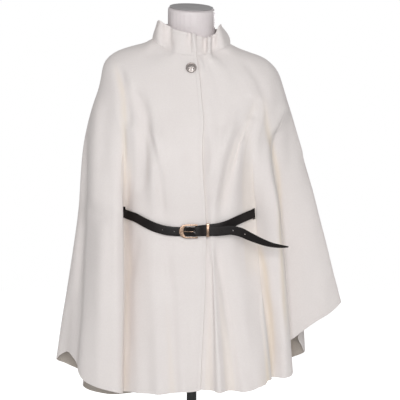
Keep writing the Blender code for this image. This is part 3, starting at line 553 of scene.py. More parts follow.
def new_group(name: str, scale: str, outputs: tuple) -> tuple[Graph, Socket, Socket, bpy.types.Node]:
    """Starts a node group that takes a place and a scale.

    Args:
        name: The group's name.
        scale: The name of the input that the place is scaled by.
        outputs: The names of the value outputs.

    Returns:
        The group's graph, the place, the scaled place and the output node.
    """
    tree = bpy.data.node_groups.new(name, "ShaderNodeTree")
    tree.interface.new_socket("Vector", in_out="INPUT", socket_type="NodeSocketVector")
    for key in (scale, *outputs):
        way = "INPUT" if key == scale else "OUTPUT"
        tree.interface.new_socket(key, in_out=way, socket_type="NodeSocketFloat")
    graph, given = Graph(tree), tree.nodes.new("NodeGroupInput").outputs
    scaled = graph.add("VectorMath", {0: given["Vector"], 3: given[scale]}, operation="SCALE").outputs[0]
    return graph, given["Vector"], scaled, tree.nodes.new("NodeGroupOutput")


def felt_group() -> bpy.types.NodeTree:
    """The brushed face of a felted cloth: short fibres lying down the cloth, clumps, broad unevenness."""
    graph, place, scaled, result = new_group("felted_nap", "Fibre", ("Shade", "Height"))
    hairs = graph.noise(graph.stretch(scaled, (1.0, 1.0, 0.35)), 1.0, 4.0, 0.7)
    clumps = graph.noise(scaled, 0.22, 3.0, 0.6)
    broad = graph.noise(place, 16.0, 2.0, 0.5)
    shade, height = graph.weighted(clumps, 0.6, broad, 0.4), graph.weighted(hairs, 0.7, clumps, 0.6)
    graph.feed(result, {"Shade": shade, "Height": height})
    return graph.tree


def wear_group() -> bpy.types.NodeTree:
    """Fine scratches, rubbed patches and pits for hard and polished pieces."""
    graph, place, scaled, result = new_group("handled_surface", "Grain", ("Rub", "Height"))
    lines = graph.noise(graph.stretch(scaled, (0.15, 0.6, 3.0)), 1.0, 2.0, 0.5)
    patches = graph.noise(place, 26.0, 3.0, 0.6)
    rub = graph.weighted(patches, 0.65, lines, 0.35)
    graph.feed(result, {"Rub": rub, "Height": graph.noise(scaled, 1.0, 4.0, 0.65)})
    return graph.tree


@dataclass(frozen=True)
class Groups:
    """The node groups that the finishes share."""

    felt: bpy.types.NodeTree
    wear: bpy.types.NodeTree


def new_material(name: str) -> tuple[bpy.types.Material, Graph, bpy.types.Node, Socket]:
    """A material with its graph, its shader and its object coordinates."""
    material = bpy.data.materials.new(name)
    material.use_nodes = True
    graph = Graph(material.node_tree)
    shader = material.node_tree.nodes["Principled BSDF"]
    return material, graph, shader, graph.add("TexCoord").outputs["Object"]


@dataclass(frozen=True)
class WoolFinish:
    """Ivory felted wool with a short brushed nap, with painted warm bounce light in its deep folds, and
    stitched along its edges.
    """

    name: str = "ivory_wool_cloth"
    light: tuple = (0.86, 0.81, 0.79)
    shade: tuple = (0.83, 0.775, 0.755)
    painted_light: tuple = (0.86, 0.74, 0.58)
    fibres_per_metre: float = 1400.0
    stitch_line: float = 0.0065
    stitch_length: float = 0.0032

    def build(self, groups: Groups) -> bpy.types.Material:
        """Makes the material.

        Args:
            groups: The shared node groups.

        Returns:
            The material.
        """
        material, graph, shader, place = new_material(self.name)
        given = {"Vector": place, "Fibre": self.fibres_per_metre}
        felt = graph.add("Group", given, node_tree=groups.felt).outputs
        painted_fold_glow, from_edge, along_edge = (
            graph.add("Attribute", attribute_name=name).outputs["Fac"] for name in CLOTH_ATTRIBUTES
        )
        tone = graph.remap(felt["Shade"], 0.35, 0.65, 0.0, 1.0)
        cloth = graph.mix(tone, (*self.shade, 1.0), (*self.light, 1.0))
        beside = graph.math("ABSOLUTE", graph.math("SUBTRACT", from_edge, self.stitch_line))
        thread = graph.remap(beside, 0.0002, 0.0007, 1.0, 0.0)
        turn = graph.math("FRACT", graph.math("DIVIDE", along_edge, self.stitch_length))
        dash = graph.remap(graph.math("ABSOLUTE", graph.math("SUBTRACT", turn, 0.5)), 0.32, 0.42, 1.0, 0.0)
        sunk = graph.remap(beside, 0.0, 0.0018, 1.0, 0.0)
        height = graph.weighted(felt["Height"], 0.55, sunk, -1.2)
        height = graph.math("ADD", height, graph.math("MULTIPLY", thread, dash))
        graph.feed(shader, {
            # Painted light: the fold glow attribute mixes the warm bounce colour into the cloth where folds
            # would tint it by interreflection.
            "Base Color": graph.mix(graph.math("MULTIPLY", painted_fold_glow, 0.6), cloth, (*self.painted_light, 1.0)),
            "Roughness": graph.remap(felt["Shade"], 0.3, 0.7, 0.86, 0.98),
            "Normal": graph.bump(height, 0.5, 0.0006),
            "Sheen Weight": 0.18,
            "Sheen Roughness": 0.5,
            "Sheen Tint": (1.0, 0.95, 0.92, 1.0),
            "Specular IOR Level": 0.15,
        })
        return material


@dataclass(frozen=True)
class HardFinish:
    """A polished or painted surface with fine wear."""

    name: str
    colour: tuple
    worn: tuple
    roughness: tuple
    metallic: float = 0.0
    grain: float = 900.0
    bump: float = 0.12
    depth: float = 0.0002
    shine: float = 0.5

    def build(self, groups: Groups) -> bpy.types.Material:
        """Makes the material.

        Args:
            groups: The shared node groups.

        Returns:
            The material.
        """
        material, graph, shader, place = new_material(self.name)
        given = {"Vector": place, "Grain": self.grain}
        wear = graph.add("Group", given, node_tree=groups.wear).outputs
        rub = graph.remap(wear["Rub"], 0.38, 0.64, 0.0, 1.0)
        graph.feed(shader, {
            "Base Color": graph.mix(rub, (*self.colour, 1.0), (*self.worn, 1.0)),
            "Roughness": graph.remap(rub, 0.0, 1.0, *self.roughness),
            "Normal": graph.bump(wear["Height"], self.bump, self.depth),
            "Metallic": self.metallic,
            "Specular IOR Level": self.shine,
        })
        return material


HARD_FINISHES = {
    "leather": HardFinish("black_leather_strap", (0.0045, 0.0034, 0.0034), (0.013, 0.0095, 0.009),
                          (0.34, 0.48), grain=1500.0, bump=0.35, depth=0.0003, shine=0.25),
    "gold": HardFinish("pale_gold_plate", (0.50, 0.35, 0.26), (0.38, 0.26, 0.19), (0.16, 0.30), 1.0),
    "silver": HardFinish("silver_button_plate", (0.66, 0.60, 0.575), (0.50, 0.45, 0.43), (0.34, 0.48), 1.0),
    # Painted dark reflection: a near-black metal for the outer side of the button's rim, standing in for the
    # dark surroundings it reflects.
    "painted_rim_reflection": HardFinish("button_rim_painted_reflection", (0.06, 0.05, 0.045), (0.12, 0.10, 0.09), (0.3, 0.45), 0.8),
    "form": HardFinish("gloss_form_shell", (0.80, 0.74, 0.745), (0.77, 0.71, 0.715), (0.36, 0.46),
                       grain=500.0, bump=0.05, shine=0.35),
    "cap": HardFinish("grey_neck_cap", (0.46, 0.44, 0.445), (0.42, 0.40, 0.405), (0.3, 0.4), grain=700.0),
    "stand": HardFinish("satin_black_paint", (0.014, 0.014, 0.014), (0.03, 0.03, 0.03), (0.32, 0.46),
                        grain=1200.0, bump=0.25),
}


@dataclass(frozen=True)
class Finishes:
    """Every material of the part."""

    wool: bpy.types.Material
    reverse: bpy.types.Material
    leather: bpy.types.Material
    gold: bpy.types.Material
    silver: bpy.types.Material
    painted_rim_reflection: bpy.types.Material
    form: bpy.types.Material
    cap: bpy.types.Material
    stand: bpy.types.Material


def build_finishes() -> Finishes:
    """Makes the shared groups and every material."""
    groups = Groups(felt_group(), wear_group())
    wool = WoolFinish().build(groups)
    # Painted shade: the inner face is a darker copy of the wool, standing in for the shade inside the cape.
    reverse = WoolFinish("ivory_wool_reverse_painted_shade", (0.62, 0.565, 0.51), (0.54, 0.48, 0.43), (0.5, 0.4, 0.3))
    return Finishes(
        wool, reverse.build(groups), **{key: finish.build(groups) for key, finish in HARD_FINISHES.items()}
    )


def link_object(name: str, data: bpy.types.ID) -> bpy.types.Object:
    """A new object in the scene."""
    made = bpy.data.objects.new(name, data)
    bpy.context.scene.collection.objects.link(made)
    return made


def select_only(*things: bpy.types.Object) -> None:
    """Selects these objects alone, the first of them active."""
    bpy.ops.object.select_all(action="DESELECT")
    for thing in things:
        thing.select_set(True)
    bpy.context.view_layer.objects.active = things[0]


def apply_modifiers(thing: bpy.types.Object) -> None:
    """Applies every modifier of a mesh object."""
    select_only(thing)
    for modifier in list(thing.modifiers):
        bpy.ops.object.modifier_apply(modifier=modifier.name)


def weld(threshold: float) -> None:
    """Joins the close points of the mesh that is being edited, turns its faces outward and ends the edit."""
    bpy.ops.mesh.select_all(action="SELECT")
    bpy.ops.mesh.remove_doubles(threshold=threshold)
    bpy.ops.mesh.normals_make_consistent(inside=False)
    bpy.ops.object.mode_set(mode="OBJECT")


def settle(thing: bpy.types.Object) -> None:
    """Makes a curve a mesh, and puts the object's place and turn into its mesh."""
    select_only(thing)
    if thing.type == "CURVE":
        bpy.ops.object.convert(target="MESH")
        bpy.ops.object.mode_set(mode="EDIT")
        weld(0.00001)
    bpy.ops.object.transform_apply(location=True, rotation=True, scale=True)
    bpy.ops.object.shade_smooth_by_angle(angle=SMOOTH_ANGLE)


def merged_copy(node: bpy.types.Object, name: str) -> bpy.types.Object:
    """A copy of a CAD node's mesh with its loose triangles joined."""
    copy = link_object(name, node.data.copy())
    copy.data.name = name
    mesh = bmesh.new()
    mesh.from_mesh(copy.data)
    bmesh.ops.remove_doubles(mesh, verts=mesh.verts, dist=0.00001)
    bmesh.ops.dissolve_limit(mesh, angle_limit=math.radians(1), verts=mesh.verts, edges=mesh.edges)
    mesh.to_mesh(copy.data)
    mesh.free()
    return copy


def soften(thing: bpy.types.Object, width: float) -> None:
    """Rounds the sharp edges of a piece."""
    rounding = thing.modifiers.new("softened", "BEVEL")
    rounding.width = width * MM
    rounding.segments = 3
    rounding.limit_method = "ANGLE"
    apply_modifiers(thing)
    bpy.ops.object.shade_smooth_by_angle(angle=SMOOTH_ANGLE)


def set_finish(thing: bpy.types.Object, *materials: bpy.types.Material) -> None:
    """Gives an object's mesh these materials and no others."""
    thing.data.materials.clear()
    for material in materials:
        thing.data.materials.append(material)


def polyline_object(
    name: str, line_name: str, lines: list, bevel: float, **settings: object
) -> bpy.types.Object:
    """A curve object with rounded edges.

    Args:
        name: The object's name.
        line_name: The curve's own name.
        lines: Rows of (x, y, z, thickness share) in millimetres for each line.
        bevel: The radius of the rounding.
        **settings: The curve's own properties.

    Returns:
        The object.
    """
    curve = bpy.data.curves.new(line_name, "CURVE")
    for key, value in settings.items():
        setattr(curve, key, value)
    curve.bevel_depth = bevel * MM
    curve.bevel_resolution = 4
    for line in lines:
        spline = curve.splines.new("POLY")
        spline.points.add(len(line) - 1)
        for point, (x, y, z, share) in zip(spline.points, line):
            point.co = (x * MM, y * MM, z * MM, 1.0)
            point.radius = share
        spline.use_cyclic_u = curve.dimensions == "2D"
    return link_object(name, curve)


class PieceMaker:
    """Makes finished pieces and hangs them on the part's one body."""

    @staticmethod
    def finish(piece: bpy.types.Object, node: str, stands_for: bool = True) -> bpy.types.Object:
        """Rides a piece on the part's body, and hides the CAD node that it stands for.

        Args:
            piece: The finished object.
            node: The CAD node that it belongs to.
            stands_for: Whether the piece takes the node's place.

        Returns:
            The piece.
        """
        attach(piece, "root")
        if stands_for:
            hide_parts(node)
        LOG.info("%s: %d vertices", piece.name, len(piece.data.vertices))
        return piece

    @staticmethod
    def from_arrays(
        name: str, points: np.ndarray, faces: list, materials: list, kinds: list
    ) -> bpy.types.Object:
        """An object from points in millimetres, faces, and the number of each face's material."""
        data = bpy.data.meshes.new(name)
        data.from_pydata((points * MM).tolist(), [], faces)
        for material in materials:
            data.materials.append(material)
        data.polygons.foreach_set("material_index", kinds)
        data.update()
        data.shade_smooth()
        return link_object(name, data)


@dataclass
class ClothWall:
    """A wall of cloth between an outer grid of points and its reverse."""

    name: str
    outer: np.ndarray
    inner: np.ndarray
    painted_fold_glow: np.ndarray
    holes: set
    free_edges: tuple
    round_out: float
    sewn_round: float = 0.1

    def along_sheet(self) -> list[np.ndarray]:
        """Distances across and down the cloth at each of its points."""
        firsts = self.outer[:1], self.outer[:, :1]
        steps = [np.diff(self.outer, axis=axis, prepend=first) for axis, first in enumerate(firsts)]
        return [np.cumsum(np.linalg.norm(step, axis=2), axis=axis) for axis, step in enumerate(steps)]

    def build(self, face: bpy.types.Material, reverse: bpy.types.Material) -> bpy.types.Object:
        """Makes the wall, with its edges rounded and its edge distances kept for the stitching.

        Args:
            face: The material of the outer face and the edges.
            reverse: The material of the inner face.

        Returns:
            The object.
        """
        columns, rows = self.outer.shape[:2]
        count = columns * rows
        number = np.arange(count).reshape(columns, rows)
        kept = np.ones((columns - 1, rows - 1), bool)
        for column, row in self.holes:
            kept[column, row] = False
        i, k = np.nonzero(kept)
        quads = np.stack([number[i, k], number[i, k + 1], number[i + 1, k + 1], number[i + 1, k]], axis=1)
        faces = quads.tolist() + (quads[:, [0, 3, 2, 1]] + count).tolist()
        kinds = [0] * len(quads) + [1] * len(quads)
        border: dict = {}
        for quad in quads.tolist():
            for start, end in zip(quad, quad[1:] + quad[:1]):
                if border.pop((end, start), None) is None:
                    border[(start, end)] = True
        outer, inner = self.outer.reshape(-1, 3), self.inner.reshape(-1, 3)
        normals = unit(outer - inner)
        outward: dict = {}
        for start, end in border:
            side = unit(np.cross(outer[end] - outer[start], normals[start]))
            for at in (start, end):
                outward[at] = outward.get(at, 0) + side
        rounding = self.edge_rounding().reshape(-1)
        rim = {at: 2 * count + n for n, at in enumerate(outward)}
        rim_points = [(outer[at] + inner[at]) / 2 + unit(side) * rounding[at] for at, side in outward.items()]
        for start, end in border:
            faces.append([end, start, rim[start], rim[end]])
            faces.append([rim[end], rim[start], start + count, end + count])
            kinds += [0, 0]
        points = np.concatenate([outer, inner, rim_points])
        made = PieceMaker.from_arrays(self.name, points, faces, [face, reverse], kinds)
        self._attributes(made, len(rim_points))
        self._sharpen(made, {frozenset(pair) for pair in border}, number)
        return made

    def edge_rounding(self) -> np.ndarray:
        """How far each edge point stands out, more at the free edges than at the sewn ones."""
        whole = slice(None)
        places = {"first": (0, whole), "last": (-1, whole), "top": (whole, 0), "hem": (whole, -1)}
        rounding = np.full(self.outer.shape[:2], self.sewn_round)
        for edge in self.free_edges:
            rounding[places[edge]] = self.round_out
        for edge in places.keys() - set(self.free_edges):
            rounding[places[edge]] = self.sewn_round
        return rounding

    def _sharpen(self, made: bpy.types.Object, border: set, number: np.ndarray) -> None:
        """Keeps the shading flat right up to the upright and sewn edges, so that no line shows there."""
        rows = [row for edge, row in (("top", 0), ("hem", -1)) if edge in self.free_edges]
        soft = set(number[:, rows].reshape(-1).tolist())
        for edge in made.data.edges:
            pair = {at % number.size for at in edge.vertices if at < 2 * number.size}
            if len(pair) == 2 and frozenset(pair) in border and not pair <= soft:
                edge.use_edge_sharp = True

    def _attributes(self, made: bpy.types.Object, rim_count: int) -> None:
        """Stores how much painted warm bounce light the cloth's folds give it, and where it lies from its
        edges, in metres.
        """
        across, down = (run * MM for run in self.along_sheet())
        far, along = np.full(across.shape, 1.0), np.zeros(across.shape)
        choices = {
            "first": (across, down),
            "last": (across[-1:] - across, down),
            "top": (down, across),
            "hem": (down[:, -1:] - down, across),
        }
        for edge in self.free_edges:
            distance, run = choices[edge]
            nearer = distance < far
            far, along = np.where(nearer, distance, far), np.where(nearer, run, along)
        for key, values in zip(CLOTH_ATTRIBUTES, (self.painted_fold_glow, far, along)):
            attribute = made.data.attributes.new(key, "FLOAT", "POINT")
            stored = np.concatenate([values.reshape(-1)] * 2 + [np.zeros(rim_count)])
            attribute.data.foreach_set("value", stored.astype(np.float32))


@dataclass
class Cape:
    """The cape's two fronts, its back and its stand collar."""

    cloth: float = 2.2
    collar_cloth: float = 2.6
    seam_gap: float = 0.5
    front_step: float = 5.0
    back_step: float = 7.5
    chest_z: float = 1200.0
    belt_middle_z: float = 995.0
    belt_side_z: float = 1030.0
    belt_reach: float = 150.0
    chest_rows: int = 26
    slit_top_share: float = 0.914
    slit_foot_share: float = 0.0295
    shoulder_draws: tuple = ((6.0, -205.0), (-5.0, 200.0))
    shoulder_draw_width: float = 45.0
    shoulder_draw_height: tuple = (1328.0, 42.0)
    shoulder_drops: tuple = (5.0, 1.0)
    shoulder_drop_place: tuple = (132.0, 30.0)
    shoulder_drop_heights: tuple = (1330.0, 1370.0)
    hem_drop: float = 4.0
    wing_draw: float = 4.0
    neck_lifts: tuple = ((6.0, -89.0), (3.0, 88.0))
    neck_lift_width: float = 13.0
    neck_heights: tuple = (1385.0, 1405.0)
    facing: tuple = (0.05, 0.5)
    stroke_start: float = 0.22
    stroke_end: float = 0.18
    crease_fall: float = 1.6
    crease_roundness: float = 0.06
    deepest_press: float = 11.0
    hollow_hold: float = 0.85
    belt_hold: tuple = (1.0, 0.55)
    belt_hold_height: float = 24.0
    hollow_glow: float = 0.3
    collar_rise: float = 0.2
    collar_rows: int = 12

    def belt_height(self, x: np.ndarray) -> np.ndarray:
        """The height of the belt's line, which dips at the front."""
        share = np.minimum(np.abs(x) / self.belt_reach, 1.0)
        return self.belt_middle_z + (self.belt_side_z - self.belt_middle_z) * share**2

    def ring_point(self, ring: Ring, angle_deg: float, lift: float) -> np.ndarray:
        """A point of a yoke ring, at an angle from the front through +X."""
        angle = math.radians(angle_deg)
        side, ahead = math.sin(angle), math.cos(angle)
        half = ring.left_x if side > 0 else -ring.right_x
        depth = -ring.front_y if ahead > 0 else ring.back_y
        end_z = ring.front_z if ahead > 0 else ring.back_z
        table = np.array(NECK_RIPPLES, float)
        ripple = hermite(table[:, 1:], table[:, 0], np.array([angle_deg]))[0, 0]
        flat = np.array([half * side, -depth * ahead, ring.side_z + (end_z - ring.side_z) * ahead**2])
        return flat + np.array([side, -ahead, 0.0]) * (lift + ripple * ring.ripple)

    def row_shares(self) -> list[np.ndarray]:
        """How far down each stretch between two levels the rows lie."""
        yoke = [np.linspace(0, 1, n, endpoint=False) for n in (10, 10, 9, 9)]
        yoke[0] = np.concatenate([[0.0, 0.02], yoke[0][1:]])
        chest = np.concatenate([np.linspace(0, self.slit_top_share, self.chest_rows), [0.951, 0.976]])
        skirt = np.concatenate([[0.0, 0.015], np.linspace(self.slit_foot_share, 0.985, 50), [0.9965, 1.0]])
        return [*yoke, chest, skirt]

    def grid(self) -> tuple[np.ndarray, list, np.ndarray, range]:
        """The cape's outer face before its soft folds.

        Returns:
            The points [column, row], each fold's column, each column's angle, and the rows of the slits.
        """
        levels = np.array([
            [
                (f.chest_x, f.chest_y, self.chest_z),
                (f.belt_x, f.belt_y, float(self.belt_height(np.array(f.belt_x)))),
                (f.hem_x, f.hem_y, f.hem_z),
            ]
            for f in FOLDS
        ])
        knots = (knots_of(levels[:, 0]) + knots_of(levels[:, 1]) + knots_of(levels[:, 2])) / 3
        at, fold_column = [], []
        for i in range(len(FOLDS) - 1):
            fold_column.append(len(at))
            widest = max(np.linalg.norm(levels[i + 1, n] - levels[i, n]) for n in (1, 2))
            step = self.back_step if FOLDS[i].panel == "back" else self.front_step
            beside_slit = all(fold.name.startswith("slit_") for fold in FOLDS[i : i + 2])
            count = 1 if beside_slit else max(2, round(widest / step))
            at.extend(knots[i] + (knots[i + 1] - knots[i]) * n / count for n in range(count))
        fold_column.append(len(at))
        at = np.array([*at, knots[-1]])
        around = hermite([(f.angle, f.lift) for f in FOLDS], knots, at)
        lower = hermite(levels.reshape(len(FOLDS), -1), knots, at).reshape(len(at), 3, 3)
        shares = self.row_shares()
        columns = []
        for (angle, lift), below in zip(around, lower):
            line = np.array([*(self.ring_point(ring, angle, lift) for ring in RINGS), *below])
            runs = knots_of(line)
            places = [runs[i] + share * (runs[i + 1] - runs[i]) for i, share in enumerate(shares)]
            columns.append(hermite(line, runs, np.concatenate(places)))
        above = sum(len(share) for share in shares[: len(RINGS)])
        slit_rows = range(above + self.chest_rows - 1, above + len(shares[len(RINGS)]) + 2)
        return leaned(self.sloped(np.array(columns))), fold_column, around[:, 0], slit_rows

    @staticmethod
    def is_slit(i: int) -> bool:
        """Whether the cloth between a fold line and the next one has the belt's slit."""
        return {FOLDS[i].name, FOLDS[i + 1].name} == {"slit_inner", "slit_outer"}

    def sloped(self, grid: np.ndarray) -> np.ndarray:
        """The grid with shoulders let down and drawn in, neck raised and hem let down, all a little."""
        x, z = grid[..., 0].copy(), grid[..., 2].copy()
        for draw, middle in self.shoulder_draws:
            ends = bell(x, middle, self.shoulder_draw_width) * bell(z, *self.shoulder_draw_height)
            grid[..., 0] += draw * ends
        drop = np.where(x > 0, *self.shoulder_drops) * bell(np.abs(x), *self.shoulder_drop_place)
        grid[..., 2] -= drop * smoothstep(z, *self.shoulder_drop_heights)
        grid[..., 2] -= self.hem_drop * smoothstep(-z, -900.0, -640.0) * bell(x, 105.0, 60.0)
        grid[..., 0] -= self.wing_draw * smoothstep(-z, -950.0, -720.0) * smoothstep(-x, 220.0, 290.0)
        lift = sum(height * bell(x, middle, self.neck_lift_width) for height, middle in self.neck_lifts)
        grid[..., 2] += smoothstep(z, *self.neck_heights) * lift
        return grid

    def pressed(self, grid: np.ndarray) -> tuple[np.ndarray, np.ndarray]:
        """How far outward the fold strokes move each point of a sheet, and how much painted warm bounce light
        they give it.
        """
        ahead = -sheet_normals(grid)[..., 1]
        x, z = grid[..., 0], grid[..., 2]
        press, glow = np.zeros(x.shape), np.zeros(x.shape)
        for strokes, towards in ((FOLD_STROKES, ahead), (BACK_STROKES, -ahead)):
            facing = smoothstep(towards, *self.facing)
            for stroke in strokes:
                distance, share = self.stroke_distance(x, z, np.array(stroke.path, float))
                ease = smoothstep(share, 0.0, self.stroke_start)
                ease = ease * smoothstep(1.0 - share, 0.0, self.stroke_end)
                across = distance / stroke.width
                if stroke.kind is CREASE:
                    shape = -np.exp(-np.sqrt(across**2 + self.crease_roundness) * self.crease_fall)
                else:
                    shape = np.exp(-(across**2)) * (1.0 if stroke.kind is RIDGE else -1.0)
                press += shape * stroke.depth * ease * facing
                glow = np.maximum(glow, stroke.glow * np.exp(-(across**2) * 1.5) * ease * facing)
        held = np.tanh(press / self.deepest_press) * self.deepest_press
        press = np.where(press < 0, held * (1 - self.hollow_hold * hollowness(grid)), press)
        near_belt = bell(z, self.belt_height(x), self.belt_hold_height) * smoothstep(ahead, *self.facing)
        return press * (1 - np.where(press > 0, *self.belt_hold) * near_belt), glow

    def folded_grid(self, grid: np.ndarray) -> tuple[np.ndarray, np.ndarray]:
        """The grid after the soft folds are pressed in, and how much painted warm bounce light each point
        gets from its folds.
        """
        press, glow = self.pressed(grid)
        from_neck = np.linalg.norm(grid - grid[:, :1], axis=2)
        press += self.wrinkles(grid[..., 0], grid[..., 1], grid[..., 2]) * smoothstep(from_neck, 4.0, 60.0)
        press *= 0.35 + 0.65 * smoothstep(from_neck, 0.0, 12.0)
        # Painted light: the strokes' glow and the sheet's hollows both give the colour a warm bounce tint.
        painted_fold_glow = np.maximum(glow, self.hollow_glow * hollowness(grid))
        return grid + calm_normals(grid, 8) * press[..., None], painted_fold_glow

    @staticmethod
    def wrinkles(x: np.ndarray, y: np.ndarray, z: np.ndarray) -> np.ndarray:
        """Slight broad unevenness of hanging cloth, in millimetres."""
        return (
            0.45 * np.sin(x * 0.061 + 0.013 * z + 1.3)
            + 0.35 * np.sin(x * 0.112 - 0.017 * z + y * 0.05 + 0.4)
            + 0.25 * np.sin(z * 0.034 + x * 0.027 + 2.1)
        )

    @staticmethod
    def stroke_distance(x: np.ndarray, z: np.ndarray, path: np.ndarray) -> tuple[np.ndarray, np.ndarray]:
        """Each point's distance from a line seen from the front, and how far along the line it lies."""
        fine = hermite(path, knots_of(path), np.linspace(0, knots_of(path)[-1], 40))
        runs = knots_of(fine)
        best = np.full(x.shape, 1e9)
        share = np.zeros(x.shape)
        for n in range(len(fine) - 1):
            (x0, z0), (x1, z1) = fine[n], fine[n + 1]
            length = (x1 - x0) ** 2 + (z1 - z0) ** 2
            t = np.clip(((x - x0) * (x1 - x0) + (z - z0) * (z1 - z0)) / length, 0, 1)
            distance = np.hypot(x - x0 - t * (x1 - x0), z - z0 - t * (z1 - z0))
            nearer = distance < best
            best = np.where(nearer, distance, best)
            share = np.where(nearer, (runs[n] + t * (runs[n + 1] - runs[n])) / runs[-1], share)
        return best, share

    def build(self, finishes: Finishes) -> list[bpy.types.Object]:
        """Makes the three panels and the collar.

        Args:
            finishes: The part's materials.

        Returns:
            The four pieces.
        """
        plain, fold_column, angles, slit_rows = self.grid()
        cloth, painted_fold_glow = self.folded_grid(plain)
        reverse = reverse_of(cloth, self.cloth)
        panels = [fold.panel for fold in FOLDS]
        names = list(dict.fromkeys(panels))
        edges = [*(fold_column[panels.index(name)] for name in names), len(cloth) - 1]
        free_edges = (("first", "hem"), ("hem",), ("last", "hem"))
        pieces = []
        for panel, free, first, last in zip(names, free_edges, edges[:-1], edges[1:]):
            sides = [cloth[first : last + 1].copy(), reverse[first : last + 1].copy()]
            for sheet in sides:
                if first:
                    sheet[0] += unit(sheet[1] - sheet[0]) * self.seam_gap / 2
                if last < len(cloth) - 1:
                    sheet[-1] += unit(sheet[-2] - sheet[-1]) * self.seam_gap / 2
            slits = [i for i in range(len(FOLDS) - 1) if panels[i] == panel and self.is_slit(i)]
            holes = {(fold_column[i] - first, row) for i in slits for row in slit_rows}
            rounding = 0.15 if panel == "back" else 0.7
            wall = ClothWall(f"{panel}_cloth", *sides, painted_fold_glow[first : last + 1], holes, free, rounding)
            pieces.append(PieceMaker.finish(wall.build(finishes.wool, finishes.reverse), panel))
        pieces.append(self.build_collar(cloth, angles, finishes))
        self.state_cuts(*pieces)
        return pieces

    @staticmethod
    def state_cuts(*pieces: bpy.types.Object) -> None:
        """Does nothing: no flat size is stated for the cloth pieces."""

    def build_collar(self, cloth: np.ndarray, angles: np.ndarray, finishes: Finishes) -> bpy.types.Object:
        """The stand collar, whose foot follows the neck of the cape."""
        feet = cloth[:, 0] + np.array([0.0, 0.0, self.collar_rise])
        table = np.array([line[1:] for line in COLLAR_LINES], float)
        tops = leaned(hermite(table[:, 1:], table[:, 0], angles))
        shares = np.linspace(1.0, 0.0, self.collar_rows)
        shares = np.concatenate([[1.0, 0.985], shares[1:]])[None, :, None]
        inward = -np.stack([np.sin(np.radians(angles)), -np.cos(np.radians(angles)), 0 * angles], axis=1)
        turn = (angles + 180) % 360 - 180
        hug = 1.2 + 3.4 * smoothstep(np.abs(turn), 35, 70) - 6.0 * smoothstep(-turn, 60, 90)
        hug -= 11.0 * smoothstep(turn, 60, 90)
        grid = tops[:, None] * shares + feet[:, None] * (1 - shares)
        grid = grid + (inward * hug[:, None])[:, None] * 4 * shares * (1 - shares)
        press, _ = self.pressed(grid)
        grid = grid + calm_normals(grid, 4) * (press * smoothstep(shares[..., 0], 0.0, 0.25))[..., None]
        level = calm_normals(grid, 3) * np.array([1.0, 1.0, 0.0])
        reverse = grid - unit(level) * self.collar_cloth
        free = ("first", "last", "top")
        wall = ClothWall("collar_cloth", grid, reverse, 0 * grid[..., 0], set(), free, 0.8)
        return PieceMaker.finish(wall.build(finishes.wool, finishes.wool), "collar")


